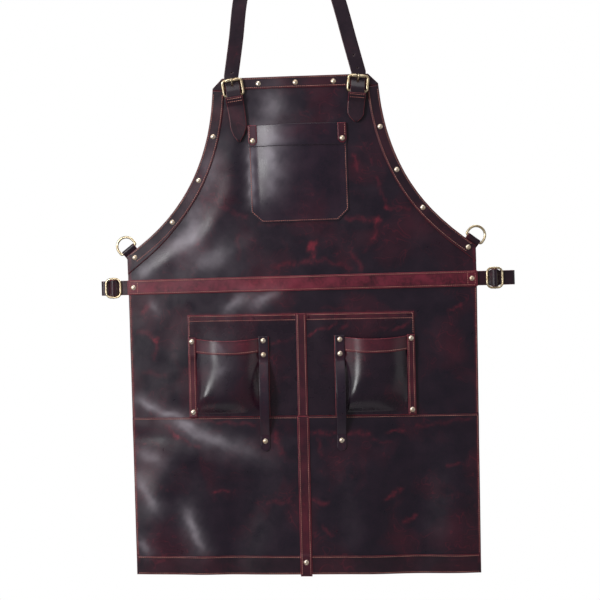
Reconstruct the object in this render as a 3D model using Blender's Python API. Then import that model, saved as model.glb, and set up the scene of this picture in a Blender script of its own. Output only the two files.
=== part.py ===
"""A leather work apron, hanging by its neck strap with its front towards -Y.

The apron is drawn flat first. In the flat drawing u runs across from the centre line, h runs up
from the hem and t is the height above the back of the body leather, towards the viewer. The
function hang turns such a place into the hanging apron, with its lean, tilt and folds.
"""

import math
from collections import namedtuple

import bpy
import numpy as np
from mathutils import Matrix, Vector
from mathutils.geometry import delaunay_2d_cdt

# Leather thicknesses and the gap that is left between pieces that touch, in metres
BODY_LEATHER = 0.0020
TRIM_LEATHER = 0.0018
STRAP_LEATHER = 0.0028
GAP = 0.0003

# The body, laid flat
APRON_HEIGHT = 0.860
HEM_WIDTH = 0.596
WAIST_WIDTH = 0.604
BIB_WIDTH = 0.286
CORNER_CUT = 0.017
WAIST_DROP = 0.357          # bib top to the middle of the waistband
ARMPIT_RISE = 0.056         # middle of the waistband to the armhole corner
SEAM_DROP = 0.230           # middle of the waistband to the seam of skirt and lower panel
SEAM_LAP = 0.009

# Strips and bands on the body
FACING_WIDTH = 0.020
WAISTBAND_WIDTH = 0.026
WAISTBAND_OVERHANG = 0.0012
HEM_BAND_WIDTH = 0.032
SKIRT_SHIFT = -0.0045       # centre strip and pockets sit this far off the centre line
UPPER_STRIP_WIDTH = 0.017
LOWER_STRIP_WIDTH = 0.020
STRIP_OVERHANG = 0.003      # centre strip below the hem

# How it hangs
NECK_DROP = 0.392           # underside of the strap at its hook to the bib top
BIB_OFFSET = 0.0163         # centre of the bib top, sideways from the hook
BIB_LEAN = math.radians(2.15)
SKIRT_LEAN = math.radians(1.3)
SIDE_SET_BACK = 0.014       # the side edges curl back this far
FOLD_DEPTH = 0.010
LATTICE = 0.0455            # side of the triangles that the folds are made of

# Chest pocket
CHEST_WIDTH = 0.169
CHEST_HEIGHT = 0.168
CHEST_DROP = 0.083          # bib top to the pocket's top
CHEST_CORNER = 0.018
CHEST_CUFF = 0.037
CHEST_BULGE = 0.009
CHEST_TAB_WIDTH = 0.0145
CHEST_TAB_LENGTH = 0.034

# Tool panel, its side pockets and the hammer loops
TOOL_WIDTH = 0.391
TOOL_HEIGHT = 0.177
TOOL_GAPE = 0.0075
SIDE_POCKET_WIDTH = 0.139
SIDE_POCKET_HEIGHT = 0.138
SIDE_POCKET_CUFF = 0.024
SIDE_POCKET_DIP = 0.0065
SIDE_POCKET_BULGE = 0.026
POCKET_MARGIN = 0.006
POCKET_TAB_WIDTH = 0.013
LOOP_WIDTH = 0.0158
LOOP_SPREAD = 0.132         # between the two hammer loops
LOOP_LENGTH = 0.199
LOOP_BULGE = 0.022
LOOP_FOOT = 0.027           # how much of the loop lies flat at its lower end

# Straps and their hardware
STRAP_WIDTH = 0.025
PEG_DIAMETER = 0.024        # the hook that the neck strap hangs on
STRAP_HOLE = 0.0040
STRAP_HOLE_PITCH = 0.0235
BUCKLE_SPREAD = 0.212
BUCKLE_DROP = 0.030         # bib top to the buckle's lower bar
BUCKLE_WIDTH = 0.038
BUCKLE_HEIGHT = 0.031
BUCKLE_CORNER = 0.0045
BUCKLE_WIRE = 0.0046
ROLLER_DIAMETER = 0.0060
PRONG_WIRE = 0.0020
TAB_WIDTH = 0.030
TAB_END_WIDTH = 0.028       # where the tab's point begins
WAIST_STRAP_BACK = 0.0225   # how far behind the body the waist strap crosses
SLIDER_OUT = 0.0290         # side edge to the slider's middle bar
SLIDER_WIDTH = 0.0300
SLIDER_HEIGHT = 0.0375
SLIDER_CORNER = 0.0070
SLIDER_WIRE = 0.0032
SLIDER_BAR = 0.0028
RING_WIDTH = 0.0327
RING_HEIGHT = 0.0262
RING_CORNER = 0.0032
RING_WIRE = 0.0035
RING_REACH = 0.0075         # armhole edge to the ring's bar
RING_LOOP_WIDTH = 0.0225
RING_LOOP_LENGTH = 0.024
RING_ALONG = 0.0090         # armhole corner to the middle of the ring's loop
RING_CLEARANCE = 0.0003

# Rivets
RIVET_HEAD = 0.0089
RIVET_DOME = 0.0022
RIVET_SHANK = 0.0030
RIVET_CAP = 0.0072
RIVET_CAP_THICK = 0.0010
RIVET_HOLE = 0.0052
RIVET_SIDES = 8
HOLE_SIDES = 6

# Rivets of each armhole facing, as shares of the armhole's depth
ARMHOLE_RIVETS = {"left": (0.281, 0.537, 0.777), "right": (0.256, 0.513, 0.741)}

# Buckle pieces that differ from side to side: the way the buckle leans, the length of its
# leather tab, the length of the tab's point and the holes seen above the buckle
Buckle = namedtuple("Buckle", "side sign lean tab_length point_length free_holes")
BUCKLES = (
    Buckle("left", -1, math.radians(7.2), 0.080, 0.026, 1),
    Buckle("right", 1, math.radians(6.5), 0.052, 0.014, 2),
)

# Where the ends of the waist strap fold back, out from the side edge
Fold_back = namedtuple("Fold_back", "side sign reach")
FOLD_BACKS = (
    Fold_back("left", -1, 0.0485),
    Fold_back("right", 1, 0.0680),
)

# The armhole edge from the bib corner down: shares of its depth and of its width
ARMHOLE_SHARES = (0.0, 0.14, 0.28, 0.42, 0.55, 0.67, 0.78, 0.89, 1.0)
ARMHOLE_OUT = (0.0, 0.024, 0.072, 0.150, 0.252, 0.382, 0.538, 0.742, 1.0)

# Tilt of the horizontal lines, right side up, against the share of the apron's height
TILT_SHARES = (0.0, 0.317, 0.52, 0.586, 0.70, 1.0)
TILT_DEGREES = (0.3, 0.73, 1.0, 1.6, 2.0, 2.0)

# Folds of the lower panel. Places are shares of half the waist and of the seam height, sizes are
# shares of the seam height, turn is in degrees and depth is a share of FOLD_DEPTH
Fold = namedtuple("Fold", "u_share h_share length_share width_share turn depth_share")
FOLDS = (
    Fold(-0.66, 0.80, 0.36, 0.13, -22, 0.9),
    Fold(-0.86, 0.42, 0.34, 0.13, 84, 0.7),
    Fold(-0.62, 0.16, 0.26, 0.12, 98, 0.6),
    Fold(-0.38, 0.30, 0.36, 0.14, 78, -0.6),
    Fold(0.34, 0.28, 0.36, 0.14, 96, 0.6),
    Fold(0.62, 0.34, 0.40, 0.14, 88, -0.7),
    Fold(0.86, 0.36, 0.42, 0.13, 90, 0.8),
)

# Way of the neck strap between buckle and hook: sideways and down from the hook, as shares of
# half the buckle spread and of NECK_DROP
Strap_point = namedtuple("Strap_point", "side across_share down_share")
STRAP_POINTS = (
    Strap_point("left", -0.806, 0.840),
    Strap_point("left", -0.735, 0.664),
    Strap_point("left", -0.560, 0.440),
    Strap_point("left", -0.300, 0.200),
    Strap_point("right", 1.040, 0.840),
    Strap_point("right", 0.860, 0.664),
    Strap_point("right", 0.590, 0.440),
    Strap_point("right", 0.300, 0.200),
)

WAIST = APRON_HEIGHT - WAIST_DROP
JOINT = WAIST - WAISTBAND_WIDTH / 4
ARMPIT = WAIST + ARMPIT_RISE
SEAM_HEIGHT = WAIST - SEAM_DROP
HALF_WAIST = WAIST_WIDTH / 2
HALF_BIB = BIB_WIDTH / 2
BIB_CORNER = APRON_HEIGHT - CORNER_CUT
TRIM_STEP = TRIM_LEATHER + GAP
TRIM_BACK = BODY_LEATHER + GAP
POCKET_BACK = TRIM_BACK + TRIM_STEP
TAB_BACK = POCKET_BACK + TRIM_STEP
TOOL_TOP = SEAM_HEIGHT + GAP + TOOL_HEIGHT
BOTTOM_LINE = SEAM_HEIGHT + 1.5 * GAP


def clear_scene():
    for item in list(bpy.data.objects):
        bpy.data.objects.remove(item)


def material(name, colour, metallic, roughness):
    made = bpy.data.materials.new(name)
    made.use_nodes = True
    shader = made.node_tree.nodes["Principled BSDF"]
    shader.inputs["Base Color"].default_value = (*colour, 1.0)
    shader.inputs["Metallic"].default_value = metallic
    shader.inputs["Roughness"].default_value = roughness
    return made


# The hanging surface

def centre_x(h):
    """The centre line leans one way in the bib and less in the skirt."""
    in_bib = np.minimum(APRON_HEIGHT - h, WAIST_DROP)
    in_skirt = np.maximum(WAIST - h, 0.0)
    return BIB_OFFSET + in_bib * math.tan(BIB_LEAN) + in_skirt * math.tan(SKIRT_LEAN)


def tilt(h):
    return np.tan(np.radians(np.interp(h / APRON_HEIGHT, TILT_SHARES, TILT_DEGREES)))


def smooth_drape(u, h):
    """Depth of the body: side edges set back by the square of u, and folds below the seam."""
    depth = SIDE_SET_BACK * (u / HALF_WAIST) ** 2
    fade = np.clip((SEAM_HEIGHT + 0.3 * LATTICE - h) / (2 * LATTICE), 0.0, 1.0)
    for fold in FOLDS:
        turn = math.radians(fold.turn)
        du = u - fold.u_share * HALF_WAIST
        dh = h - fold.h_share * SEAM_HEIGHT
        along = (du * math.cos(turn) + dh * math.sin(turn)) / (fold.length_share * SEAM_HEIGHT)
        across = (dh * math.cos(turn) - du * math.sin(turn)) / (fold.width_share * SEAM_HEIGHT)
        ridge = np.exp(-along ** 2 - across ** 2)
        depth = depth - fade * fold.depth_share * FOLD_DEPTH * ridge
    return depth


def gape(u, h):
    """How far the tool panel stands off the skirt: nothing at its seams, most along its top."""
    off_centre = np.abs(u - SKIRT_SHIFT)
    edge = TOOL_WIDTH / 2
    rise = np.clip((off_centre - UPPER_STRIP_WIDTH / 2) / (0.7 * LATTICE), 0.0, 1.0)
    fall = np.clip((edge - POCKET_TAB_WIDTH - off_centre) / LATTICE, 0.0, 1.0)
    up = np.maximum((h - SEAM_HEIGHT) / TOOL_HEIGHT, 0.0)
    return TOOL_GAPE * rise * fall * up


def on_lattice(field, u, h):
    """Read a field as flat triangles between lattice points, so that every layer folds alike."""
    i = np.floor(u / LATTICE)
    j = np.floor(h / LATTICE)
    across = u / LATTICE - i
    up = h / LATTICE - j

    def corner(di, dj):
        return field((i + di) * LATTICE, (j + dj) * LATTICE)

    low = corner(0, 0)
    high = corner(1, 1)
    right = low + across * (corner(1, 0) - low) + up * (high - corner(1, 0))
    left = low + up * (corner(0, 1) - low) + across * (high - corner(0, 1))
    return np.where(across >= up, right, left)


def hang(u, h, t):
    """Place of the flat point (u, h) at the height t above the back of the body."""
    u, h, t = np.broadcast_arrays(np.asarray(u, float), np.asarray(h, float), t)
    x = centre_x(h) + u
    y = on_lattice(smooth_drape, u, h) - t
    z = h - APRON_HEIGHT - NECK_DROP + u * tilt(h)
    return np.stack([x, y, z], axis=-1)


def local_frame(u, h, turn, carried=0.0):
    """Frame on the body at (u, h): X across, Y up the apron turned by turn, Z to the viewer.

    carried is the share of the tool panel's gape that the frame leans with.
    """
    step = 0.003

    def at(du, dh):
        place_u, place_h = np.array(u + du), np.array(h + dh)
        lift = carried * on_lattice(gape, place_u, place_h)
        return Vector(hang(place_u, place_h, lift))

    base = Vector(hang(u, h, 0.0))
    across = (at(step, 0.0) - at(-step, 0.0)).normalized()
    up = (at(0.0, step) - at(0.0, -step)).normalized()
    out = across.cross(up).normalized()
    up = out.cross(across)
    turned_up = up * math.cos(turn) + across * math.sin(turn)
    turned_across = across * math.cos(turn) - up * math.sin(turn)
    rows = Matrix((turned_across, turned_up, out)).transposed().to_4x4()
    return Matrix.Translation(base) @ rows


# Meshes

def new_object(name, vertices, faces, leather_or_metal, smooth=False):
    mesh = bpy.data.meshes.new(name)
    mesh.from_pydata([tuple(v) for v in vertices], [], [tuple(f) for f in faces])
    mesh.validate()
    if smooth:
        mesh.shade_smooth()
        mesh.set_sharp_from_angle(angle=math.radians(40))
    mesh.materials.append(leather_or_metal)
    made = bpy.data.objects.new(name, mesh)
    bpy.context.scene.collection.objects.link(made)
    return made


def outward(vertices, triangles):
    """Turn the faces of a closed mesh outwards, judged by its signed volume."""
    corner = np.asarray(vertices)[np.asarray(triangles)]
    cross = np.cross(corner[:, 1], corner[:, 2])
    volume = np.einsum("ij,ij->", corner[:, 0], cross)
    if volume < 0:
        return [tuple(reversed(triangle)) for triangle in triangles]
    return triangles


def inside(points, loop):
    """Which points lie inside a closed loop, by counting crossings."""
    loop = np.asarray(loop)
    x0, y0 = loop[:, 0], loop[:, 1]
    x1, y1 = np.roll(x0, -1), np.roll(y0, -1)
    px, py = points[:, 0:1], points[:, 1:2]
    spans = (y0 > py) != (y1 > py)
    rise = np.where(y1 == y0, 1.0, y1 - y0)
    crossing = x0 + (py - y0) * (x1 - x0) / rise
    return (spans & (px < crossing)).sum(axis=1) % 2 == 1


def lattice_lines(outline):
    """Edges of the lattice's triangles over the box of an outline."""
    outline = np.asarray(outline)
    first = np.floor(outline.min(axis=0) / LATTICE).astype(int)
    last = np.ceil(outline.max(axis=0) / LATTICE).astype(int)
    lines = []
    for i in range(first[0], last[0] + 1):
        for j in range(first[1], last[1] + 1):
            for di, dj in ((1, 0), (0, 1), (1, 1)):
                if i + di <= last[0] and j + dj <= last[1]:
                    lines.append([(i * LATTICE, j * LATTICE),
                                  ((i + di) * LATTICE, (j + dj) * LATTICE)])
    return lines


def triangulate(outline, holes, creases):
    """Triangles inside an outline and outside its holes, with an edge along each crease."""
    places, edges, index = [], [], {}

    def point(place):
        key = (round(place[0], 7), round(place[1], 7))
        if key not in index:
            index[key] = len(places)
            places.append(Vector(key))
        return index[key]

    for loop in (outline, *holes):
        ids = [point(place) for place in loop]
        edges += [(a, b) for a, b in zip(ids, ids[1:] + ids[:1]) if a != b]
    for line in creases:
        ids = [point(place) for place in line]
        edges += [(a, b) for a, b in zip(ids, ids[1:]) if a != b]
    merged, _, faces = delaunay_2d_cdt(places, edges, [], 0, 1e-5, False)[:3]
    flat = np.array([tuple(v) for v in merged])
    faces = np.array([tuple(f) for f in faces])
    middle = flat[faces].mean(axis=1)
    keep = inside(middle, outline)
    for hole in holes:
        keep &= ~inside(middle, hole)
    faces = faces[keep]
    a, b, c = flat[faces[:, 0]], flat[faces[:, 1]], flat[faces[:, 2]]
    turn = (b - a)[:, 0] * (c - a)[:, 1] - (b - a)[:, 1] * (c - a)[:, 0]
    faces[turn < 0] = faces[turn < 0][:, ::-1]
    used, faces = np.unique(faces, return_inverse=True)
    return flat[used], faces.reshape(-1, 3)


def as_field(value):
    return value if callable(value) else (lambda u, h: np.full_like(u, value))


def leather(name, finish, outline, back, front, holes=(), creases=(), place=hang):
    """A closed piece of leather between the heights back and front over a flat outline."""
    lines = list(creases)
    if place is hang:
        lines += lattice_lines(outline)
    flat, faces = triangulate(outline, holes, lines)
    u, h = flat[:, 0], flat[:, 1]
    near = place(u, h, as_field(front)(u, h))
    far = place(u, h, as_field(back)(u, h))
    count = len(flat)
    triangles = [tuple(f) for f in faces] + [tuple(f[::-1] + count) for f in faces]
    sides = {(a, b) for f in faces for a, b in zip(f, np.roll(f, -1))}
    for a, b in sides:
        if (b, a) not in sides:
            triangles += [(b, a, a + count), (b, a + count, b + count)]
    return new_object(name, np.vstack([near, far]), triangles, finish)


def ring_of(centre, radius, sides=HOLE_SIDES):
    angles = [2 * math.pi * (k + 0.5) / sides for k in range(sides)]
    return [(centre[0] + radius * math.cos(a), centre[1] + radius * math.sin(a)) for a in angles]


def smooth_path(points, step):
    """Catmull-Rom curve through points, with a station about every step."""
    points = [Vector(p) for p in points]
    ends = [2 * points[0] - points[1]] + points + [2 * points[-1] - points[-2]]
    out = []
    for a, b, c, d in zip(ends, ends[1:], ends[2:], ends[3:]):
        count = max(1, round((c - b).length / step))
        for k in range(count):
            s = k / count
            out.append(0.5 * (2 * b + (c - a) * s + (2 * a - 5 * b + 4 * c - d) * s * s
                              + (3 * b - a - 3 * c + d) * s ** 3))
    out.append(points[-1])
    return np.array([tuple(p) for p in out])


def tangents(path):
    steps = np.gradient(path, axis=0)
    return steps / np.linalg.norm(steps, axis=1)[:, None]


def path_place(path, outer):
    """Place on a bent strap: u across it, h along its middle line, t out from that line.

    outer holds, for each station, the rough direction that the grain side faces.
    """
    along = tangents(path)
    side = np.cross(along, outer)
    side /= np.linalg.norm(side, axis=1)[:, None]
    normal = np.cross(side, along)
    run = np.concatenate([[0.0], np.cumsum(np.linalg.norm(np.diff(path, axis=0), axis=1))])

    def read(table, h):
        return np.stack([np.interp(h, run, table[:, k]) for k in range(3)], axis=-1)

    def place(u, h, t):
        return (read(path, h) + np.asarray(u)[:, None] * read(side, h)
                + np.asarray(t)[:, None] * read(normal, h))

    return place, run


def strap(name, finish, path, outer, outline_of, thickness, holes_of=None):
    """A strap of leather bent along a path, with a crease across it at each station."""
    place, run = path_place(path, outer)
    outline = outline_of(run)
    reach = 1.2 * max(abs(u) for u, h in outline)
    creases = [[(-reach, s), (reach, s)] for s in run[1:-1]]
    holes = holes_of(run) if holes_of else ()
    half = thickness / 2
    return leather(name, finish, outline, -half, half, holes, creases, place)


def tube(name, finish, path, radii, flat_normal, closed, sides=8):
    """A wire along a path that lies in one plane, closed on itself or with flat ends."""
    path = np.asarray(path, float)
    flat_normal = np.asarray(flat_normal, float)
    ahead = np.roll(path, -1, axis=0) - path
    if not closed:
        ahead[-1] = ahead[-2]
    ahead /= np.linalg.norm(ahead, axis=1)[:, None]
    behind = np.roll(ahead, 1, axis=0)
    if not closed:
        behind[0] = ahead[0]
    along = (ahead + behind) / np.linalg.norm(ahead + behind, axis=1)[:, None]
    inward = np.cross(flat_normal, along)
    angles = (np.arange(sides) + 0.5) * 2 * math.pi / sides
    radii = np.broadcast_to(radii, len(path))[:, None, None]
    rings = path[:, None, :] + radii * (np.cos(angles)[None, :, None] * inward[:, None, :]
                                        + np.sin(angles)[None, :, None] * flat_normal)
    count = len(path)
    triangles = []
    for k in range(count if closed else count - 1):
        m = (k + 1) % count
        for i in range(sides):
            j = (i + 1) % sides
            quad = (k * sides + i, k * sides + j, m * sides + j, m * sides + i)
            triangles += [(quad[0], quad[1], quad[2]), (quad[0], quad[2], quad[3])]
    if not closed:
        last = (count - 1) * sides
        triangles += [(0, i + 1, i) for i in range(1, sides - 1)]
        triangles += [(last, last + i, last + i + 1) for i in range(1, sides - 1)]
    vertices = rings.reshape(-1, 3)
    return new_object(name, vertices, outward(vertices, triangles), finish, smooth=True)


def arc(centre, radius, start, end, count):
    """Points on an arc in a plane, angles in degrees."""
    angles = np.radians(np.linspace(start, end, count))
    return [(centre[0] + radius * math.cos(a), centre[1] + radius * math.sin(a)) for a in angles]


def rounded_frame(width, height, corner, count=4):
    """Middle line of a rectangular frame with round corners, centred on the origin."""
    x, y = width / 2 - corner, height / 2 - corner
    points = []
    for centre, start in (((x, y), 0), ((-x, y), 90), ((-x, -y), 180), ((x, -y), 270)):
        points += arc(centre, corner, start, start + 90, count)
    return points


# Body

def half_width(h):
    """Half the body's width below the armholes."""
    return HEM_WIDTH / 2 + (WAIST_WIDTH - HEM_WIDTH) / 2 * min(h / WAIST, 1.0)


def armhole_point(share):
    """Right armhole edge at a share of its depth, from the bib corner down."""
    depth = BIB_CORNER - ARMPIT
    out = float(np.interp(share, ARMHOLE_SHARES, ARMHOLE_OUT))
    return (HALF_BIB + (HALF_WAIST - HALF_BIB) * out, BIB_CORNER - share * depth)


def armhole_inward(share):
    """Direction from the right armhole edge into the leather."""
    step = 0.01
    a = Vector(armhole_point(max(share - step, 0.0)))
    b = Vector(armhole_point(min(share + step, 1.0)))
    down = (b - a).normalized()
    return Vector((down.y, -down.x))


def armhole_inset(share, inset):
    place = Vector(armhole_point(share)) + inset * armhole_inward(share)
    return (place.x, place.y)


def mirrored(points, sign):
    """Points for one side, kept in counter-clockwise order."""
    if sign > 0:
        return list(points)
    return [(-u, h) for u, h in reversed(points)]


def bib_outline():
    joint = JOINT + GAP
    right = [(HALF_WAIST, joint)]
    right += [armhole_point(s) for s in reversed(ARMHOLE_SHARES)]
    right += [(HALF_BIB - CORNER_CUT, APRON_HEIGHT)]
    return right + [(-u, h) for u, h in reversed(right)]


def band(u_low, u_high, h_low, h_high):
    return [(u_low, h_low), (u_high, h_low), (u_high, h_high), (u_low, h_high)]


def body_panels(finish, holes):
    leather("bib_panel", finish, bib_outline(), 0.0, BODY_LEATHER, holes["bib_panel"])
    low = SEAM_HEIGHT - SEAM_LAP
    top = JOINT - GAP
    skirt = [(-half_width(low), low), (half_width(low), low),
             (half_width(top), top), (-half_width(top), top)]
    leather("skirt_panel", finish, skirt, 0.0, BODY_LEATHER, holes["skirt_panel"])
    lower = [(-HEM_WIDTH / 2, 0.0), (HEM_WIDTH / 2, 0.0),
             (half_width(SEAM_HEIGHT), SEAM_HEIGHT), (-half_width(SEAM_HEIGHT), SEAM_HEIGHT)]
    creases = [[(-HALF_WAIST, h), (HALF_WAIST, h)] for h in lap_heights()]
    leather("lower_panel", finish, lower, lap, lambda u, h: lap(u, h) + BODY_LEATHER,
            holes["lower_panel"], creases)


def lap_heights():
    """Heights between which the lower panel rises over the end of the skirt panel."""
    top = SEAM_HEIGHT - SEAM_LAP - 2 * GAP
    return (top - 3 * BODY_LEATHER, top)


def lap(u, h):
    low, high = lap_heights()
    return (BODY_LEATHER + GAP) * np.clip((h - low) / (high - low), 0.0, 1.0)


def bands(finish, red_finish, holes):
    half = WAISTBAND_WIDTH / 2
    end = HALF_WAIST + WAISTBAND_OVERHANG
    leather("waistband", red_finish, band(-end, end, WAIST - half, WAIST + half),
            TRIM_BACK, TRIM_BACK + TRIM_LEATHER, holes["waistband"])
    side = HEM_WIDTH / 2
    leather("hem_band", finish, band(-side, side, 0.0, HEM_BAND_WIDTH),
            TRIM_BACK, TRIM_BACK + TRIM_LEATHER, holes["hem_band"])


def facings(finish, holes):
    low = APRON_HEIGHT - FACING_WIDTH
    top_corner = (HALF_BIB - CORNER_CUT, APRON_HEIGHT)
    right = [(HALF_BIB, min(low, BIB_CORNER - 2 * GAP)), (HALF_BIB, BIB_CORNER), top_corner]
    outline = right + [(-u, h) for u, h in reversed(right)]
    leather("top_facing", finish, outline, TRIM_BACK, TRIM_BACK + TRIM_LEATHER,
            holes["top_facing"])
    start = (BIB_CORNER - low + 2 * GAP) / (BIB_CORNER - ARMPIT)
    shares = [start] + [s for s in ARMHOLE_SHARES if s > start + 0.02]
    outer = [armhole_point(s) for s in shares]
    first = armhole_inset(start, FACING_WIDTH)
    inner = [(first[0], outer[0][1])] + [armhole_inset(s, FACING_WIDTH) for s in shares[1:]]
    slope = (outer[-1][1] - outer[-2][1]) / (outer[-1][0] - outer[-2][0])
    side_end = inner[-1][1] + slope * (HALF_WAIST - inner[-1][0])
    right = inner + [(HALF_WAIST, side_end)] + list(reversed(outer))
    for side, sign in (("left", -1), ("right", 1)):
        name = "armhole_facing_" + side
        leather(name, finish, mirrored(right, sign), TRIM_BACK, TRIM_BACK + TRIM_LEATHER,
                holes[name])


def centre_strips(finish, red_finish, holes):
    half = UPPER_STRIP_WIDTH / 2
    upper = band(SKIRT_SHIFT - half, SKIRT_SHIFT + half, BOTTOM_LINE, TOOL_TOP)
    leather("centre_strip_upper", finish, upper, over_tool(POCKET_BACK),
            over_tool(POCKET_BACK + TRIM_LEATHER), holes["centre_strip_upper"])
    half = LOWER_STRIP_WIDTH / 2
    low, high = lap_heights()
    steps = [(HEM_BAND_WIDTH + GAP, POCKET_BACK),
             (HEM_BAND_WIDTH + GAP + TRIM_STEP, TRIM_BACK),
             (low - GAP, TRIM_BACK),
             (high - GAP, TRIM_BACK + BODY_LEATHER + GAP)]

    def back(u, h):
        return np.interp(h, [s[0] for s in steps], [s[1] for s in steps])

    lower = band(SKIRT_SHIFT - half, SKIRT_SHIFT + half, -STRIP_OVERHANG, SEAM_HEIGHT)
    creases = [[(SKIRT_SHIFT - 2 * half, s[0]), (SKIRT_SHIFT + 2 * half, s[0])] for s in steps]
    leather("centre_strip_lower", red_finish, lower, back,
            lambda u, h: back(u, h) + TRIM_LEATHER, holes["centre_strip_lower"], creases)


# Pockets

def over_tool(height):
    """A height that is carried forward by the tool panel's gape."""
    return lambda u, h: height + on_lattice(gape, u, h)


def tool_panel(finish, holes):
    half = TOOL_WIDTH / 2
    outline = band(SKIRT_SHIFT - half, SKIRT_SHIFT + half, BOTTOM_LINE, TOOL_TOP)
    leather("tool_panel", finish, outline, over_tool(TRIM_BACK),
            over_tool(TRIM_BACK + TRIM_LEATHER), holes["tool_panel"])


def bulge_share(across, up):
    """Share of a pocket's bulge: a flat-topped arch across, rising quickly from the bottom."""
    arch = 1 - np.abs(2 * np.clip(across, 0, 1) - 1) ** 2.4
    rise = 1 - (1 - np.clip(up, 0, 1)) ** 2
    return arch * rise


def grid_lines(u_values, h_values):
    lines = [[(u, h_values[0]), (u, h_values[-1])] for u in u_values]
    return lines + [[(u_values[0], h), (u_values[-1], h)] for h in h_values]


def pocket(name, finish, outline, back, zone, bulge, rise, cuff_line, holes):
    """A pocket front that bulges inside a zone (u_low, u_high, h_low), with a folded cuff."""
    u_low, u_high, h_low = zone
    top = max(h for u, h in outline)
    across = [u_low + share * (u_high - u_low) for share in (0, 0.1, 0.25, 0.42, 0.58, 0.75, 0.9, 1)]
    up = [h_low + share * rise for share in (0, 0.25, 0.6, 1.0)] + [top]
    step = TRIM_LEATHER

    def out(u, h):
        return bulge * bulge_share((u - u_low) / (u_high - u_low), (h - h_low) / rise)

    def cuff(u, h):
        return TRIM_LEATHER * np.clip((h - cuff_line(u)) / step + 0.5, 0.0, 1.0)

    ends = [min(u for u, h in outline), max(u for u, h in outline)]
    cuff_u = sorted(ends + across)
    creases = grid_lines(across, up)
    for side in (-0.5, 0.5):
        creases.append([(u, float(cuff_line(u)) + side * step) for u in cuff_u])
    return leather(name, finish, outline, lambda u, h: back(u, h) + out(u, h),
                   lambda u, h: back(u, h) + out(u, h) + TRIM_LEATHER + cuff(u, h),
                   holes, creases)


def chest_pocket(finish, holes):
    half = CHEST_WIDTH / 2
    top = APRON_HEIGHT - CHEST_DROP
    low = top - CHEST_HEIGHT
    cut = CHEST_CORNER
    outline = [(-half + cut, low), (half - cut, low), (half, low + cut), (half, top),
               (-half, top), (-half, low + cut)]
    inner = half - CHEST_TAB_WIDTH - GAP
    pocket("chest_pocket", finish, outline, as_field(TRIM_BACK), (-inner, inner, low + cut),
           CHEST_BULGE, CHEST_HEIGHT / 2, lambda u: top - CHEST_CUFF + 0 * u,
           holes["chest_pocket"])


def chest_tabs(finish, holes):
    half = CHEST_WIDTH / 2
    top = APRON_HEIGHT - CHEST_DROP
    low = top - CHEST_TAB_LENGTH
    slant = CHEST_TAB_WIDTH / 3
    line = top - CHEST_CUFF
    above_cuff = TRIM_BACK + 2 * TRIM_LEATHER + GAP
    for side, sign in (("left", -1), ("right", 1)):
        right = [(half - CHEST_TAB_WIDTH + slant, low), (half - slant, low), (half, low + slant),
                 (half, top), (half - CHEST_TAB_WIDTH, top), (half - CHEST_TAB_WIDTH, low + slant)]
        name = "chest_tab_" + side
        leather(name, finish, mirrored(right, sign), above_cuff, above_cuff + TRIM_LEATHER,
                holes[name])
    return line


def side_pocket_top(share):
    """Height of a side pocket's top edge: it dips in the middle."""
    return BOTTOM_LINE + SIDE_POCKET_HEIGHT - SIDE_POCKET_DIP * (1 - (2 * share - 1) ** 2)


def side_pockets(finish, holes):
    edge = TOOL_WIDTH / 2
    inner = edge - SIDE_POCKET_WIDTH
    for side, sign in (("left", -1), ("right", 1)):
        u_out = SKIRT_SHIFT + sign * edge
        u_in = SKIRT_SHIFT + sign * inner
        low, high = min(u_out, u_in), max(u_out, u_in)
        shares = np.linspace(1, 0, 9)
        outline = [(low, BOTTOM_LINE), (high, BOTTOM_LINE)]
        outline += [(low + s * (high - low), side_pocket_top(s)) for s in shares]
        margins = [POCKET_TAB_WIDTH + GAP, (LOOP_SPREAD + LOOP_WIDTH) / 2 + GAP - inner]
        if sign > 0:
            margins.reverse()
        zone = (low + margins[0], high - margins[1], BOTTOM_LINE + POCKET_MARGIN)

        def cuff_line(u, low=low, high=high):
            return side_pocket_top((u - low) / (high - low)) - SIDE_POCKET_CUFF

        name = "side_pocket_" + side
        pocket(name, finish, outline, over_tool(POCKET_BACK), zone, SIDE_POCKET_BULGE,
               SIDE_POCKET_HEIGHT / 3, cuff_line, holes[name])


def pocket_tabs(finish, holes):
    edge = TOOL_WIDTH / 2
    top = BOTTOM_LINE + SIDE_POCKET_HEIGHT
    for side, sign in (("left", -1), ("right", 1)):
        u_out = SKIRT_SHIFT + sign * edge
        u_in = SKIRT_SHIFT + sign * (edge - POCKET_TAB_WIDTH)
        outline = band(min(u_out, u_in), max(u_out, u_in), BOTTOM_LINE, top)
        name = "pocket_tab_" + side
        step = top - SIDE_POCKET_CUFF - SIDE_POCKET_DIP - 2 * TRIM_LEATHER
        back = cuffed(TAB_BACK, step)
        leather(name, finish, outline, back, lambda u, h: back(u, h) + TRIM_LEATHER,
                holes[name], step_creases(u_out, u_in, step))


def cuffed(height, step):
    """A height over the side pockets' margin that rises at step to pass over the folded cuff."""
    carried = over_tool(height)

    def back(u, h):
        return carried(u, h) + TRIM_LEATHER * np.clip((h - step) / (2 * TRIM_LEATHER), 0.0, 1.0)

    return back


def step_creases(u_out, u_in, step):
    return [[(u_out, h), (u_in, h)] for h in (step, step + 2 * TRIM_LEATHER)]


def loop_heights():
    """Top of a hammer loop, the end of its upper seat, the start of its foot and its tip."""
    top = BOTTOM_LINE + SIDE_POCKET_HEIGHT + 2 * GAP
    seat = top - SIDE_POCKET_CUFF - 0.018
    tip = top - LOOP_LENGTH
    return top, seat, tip + LOOP_FOOT, tip


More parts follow.
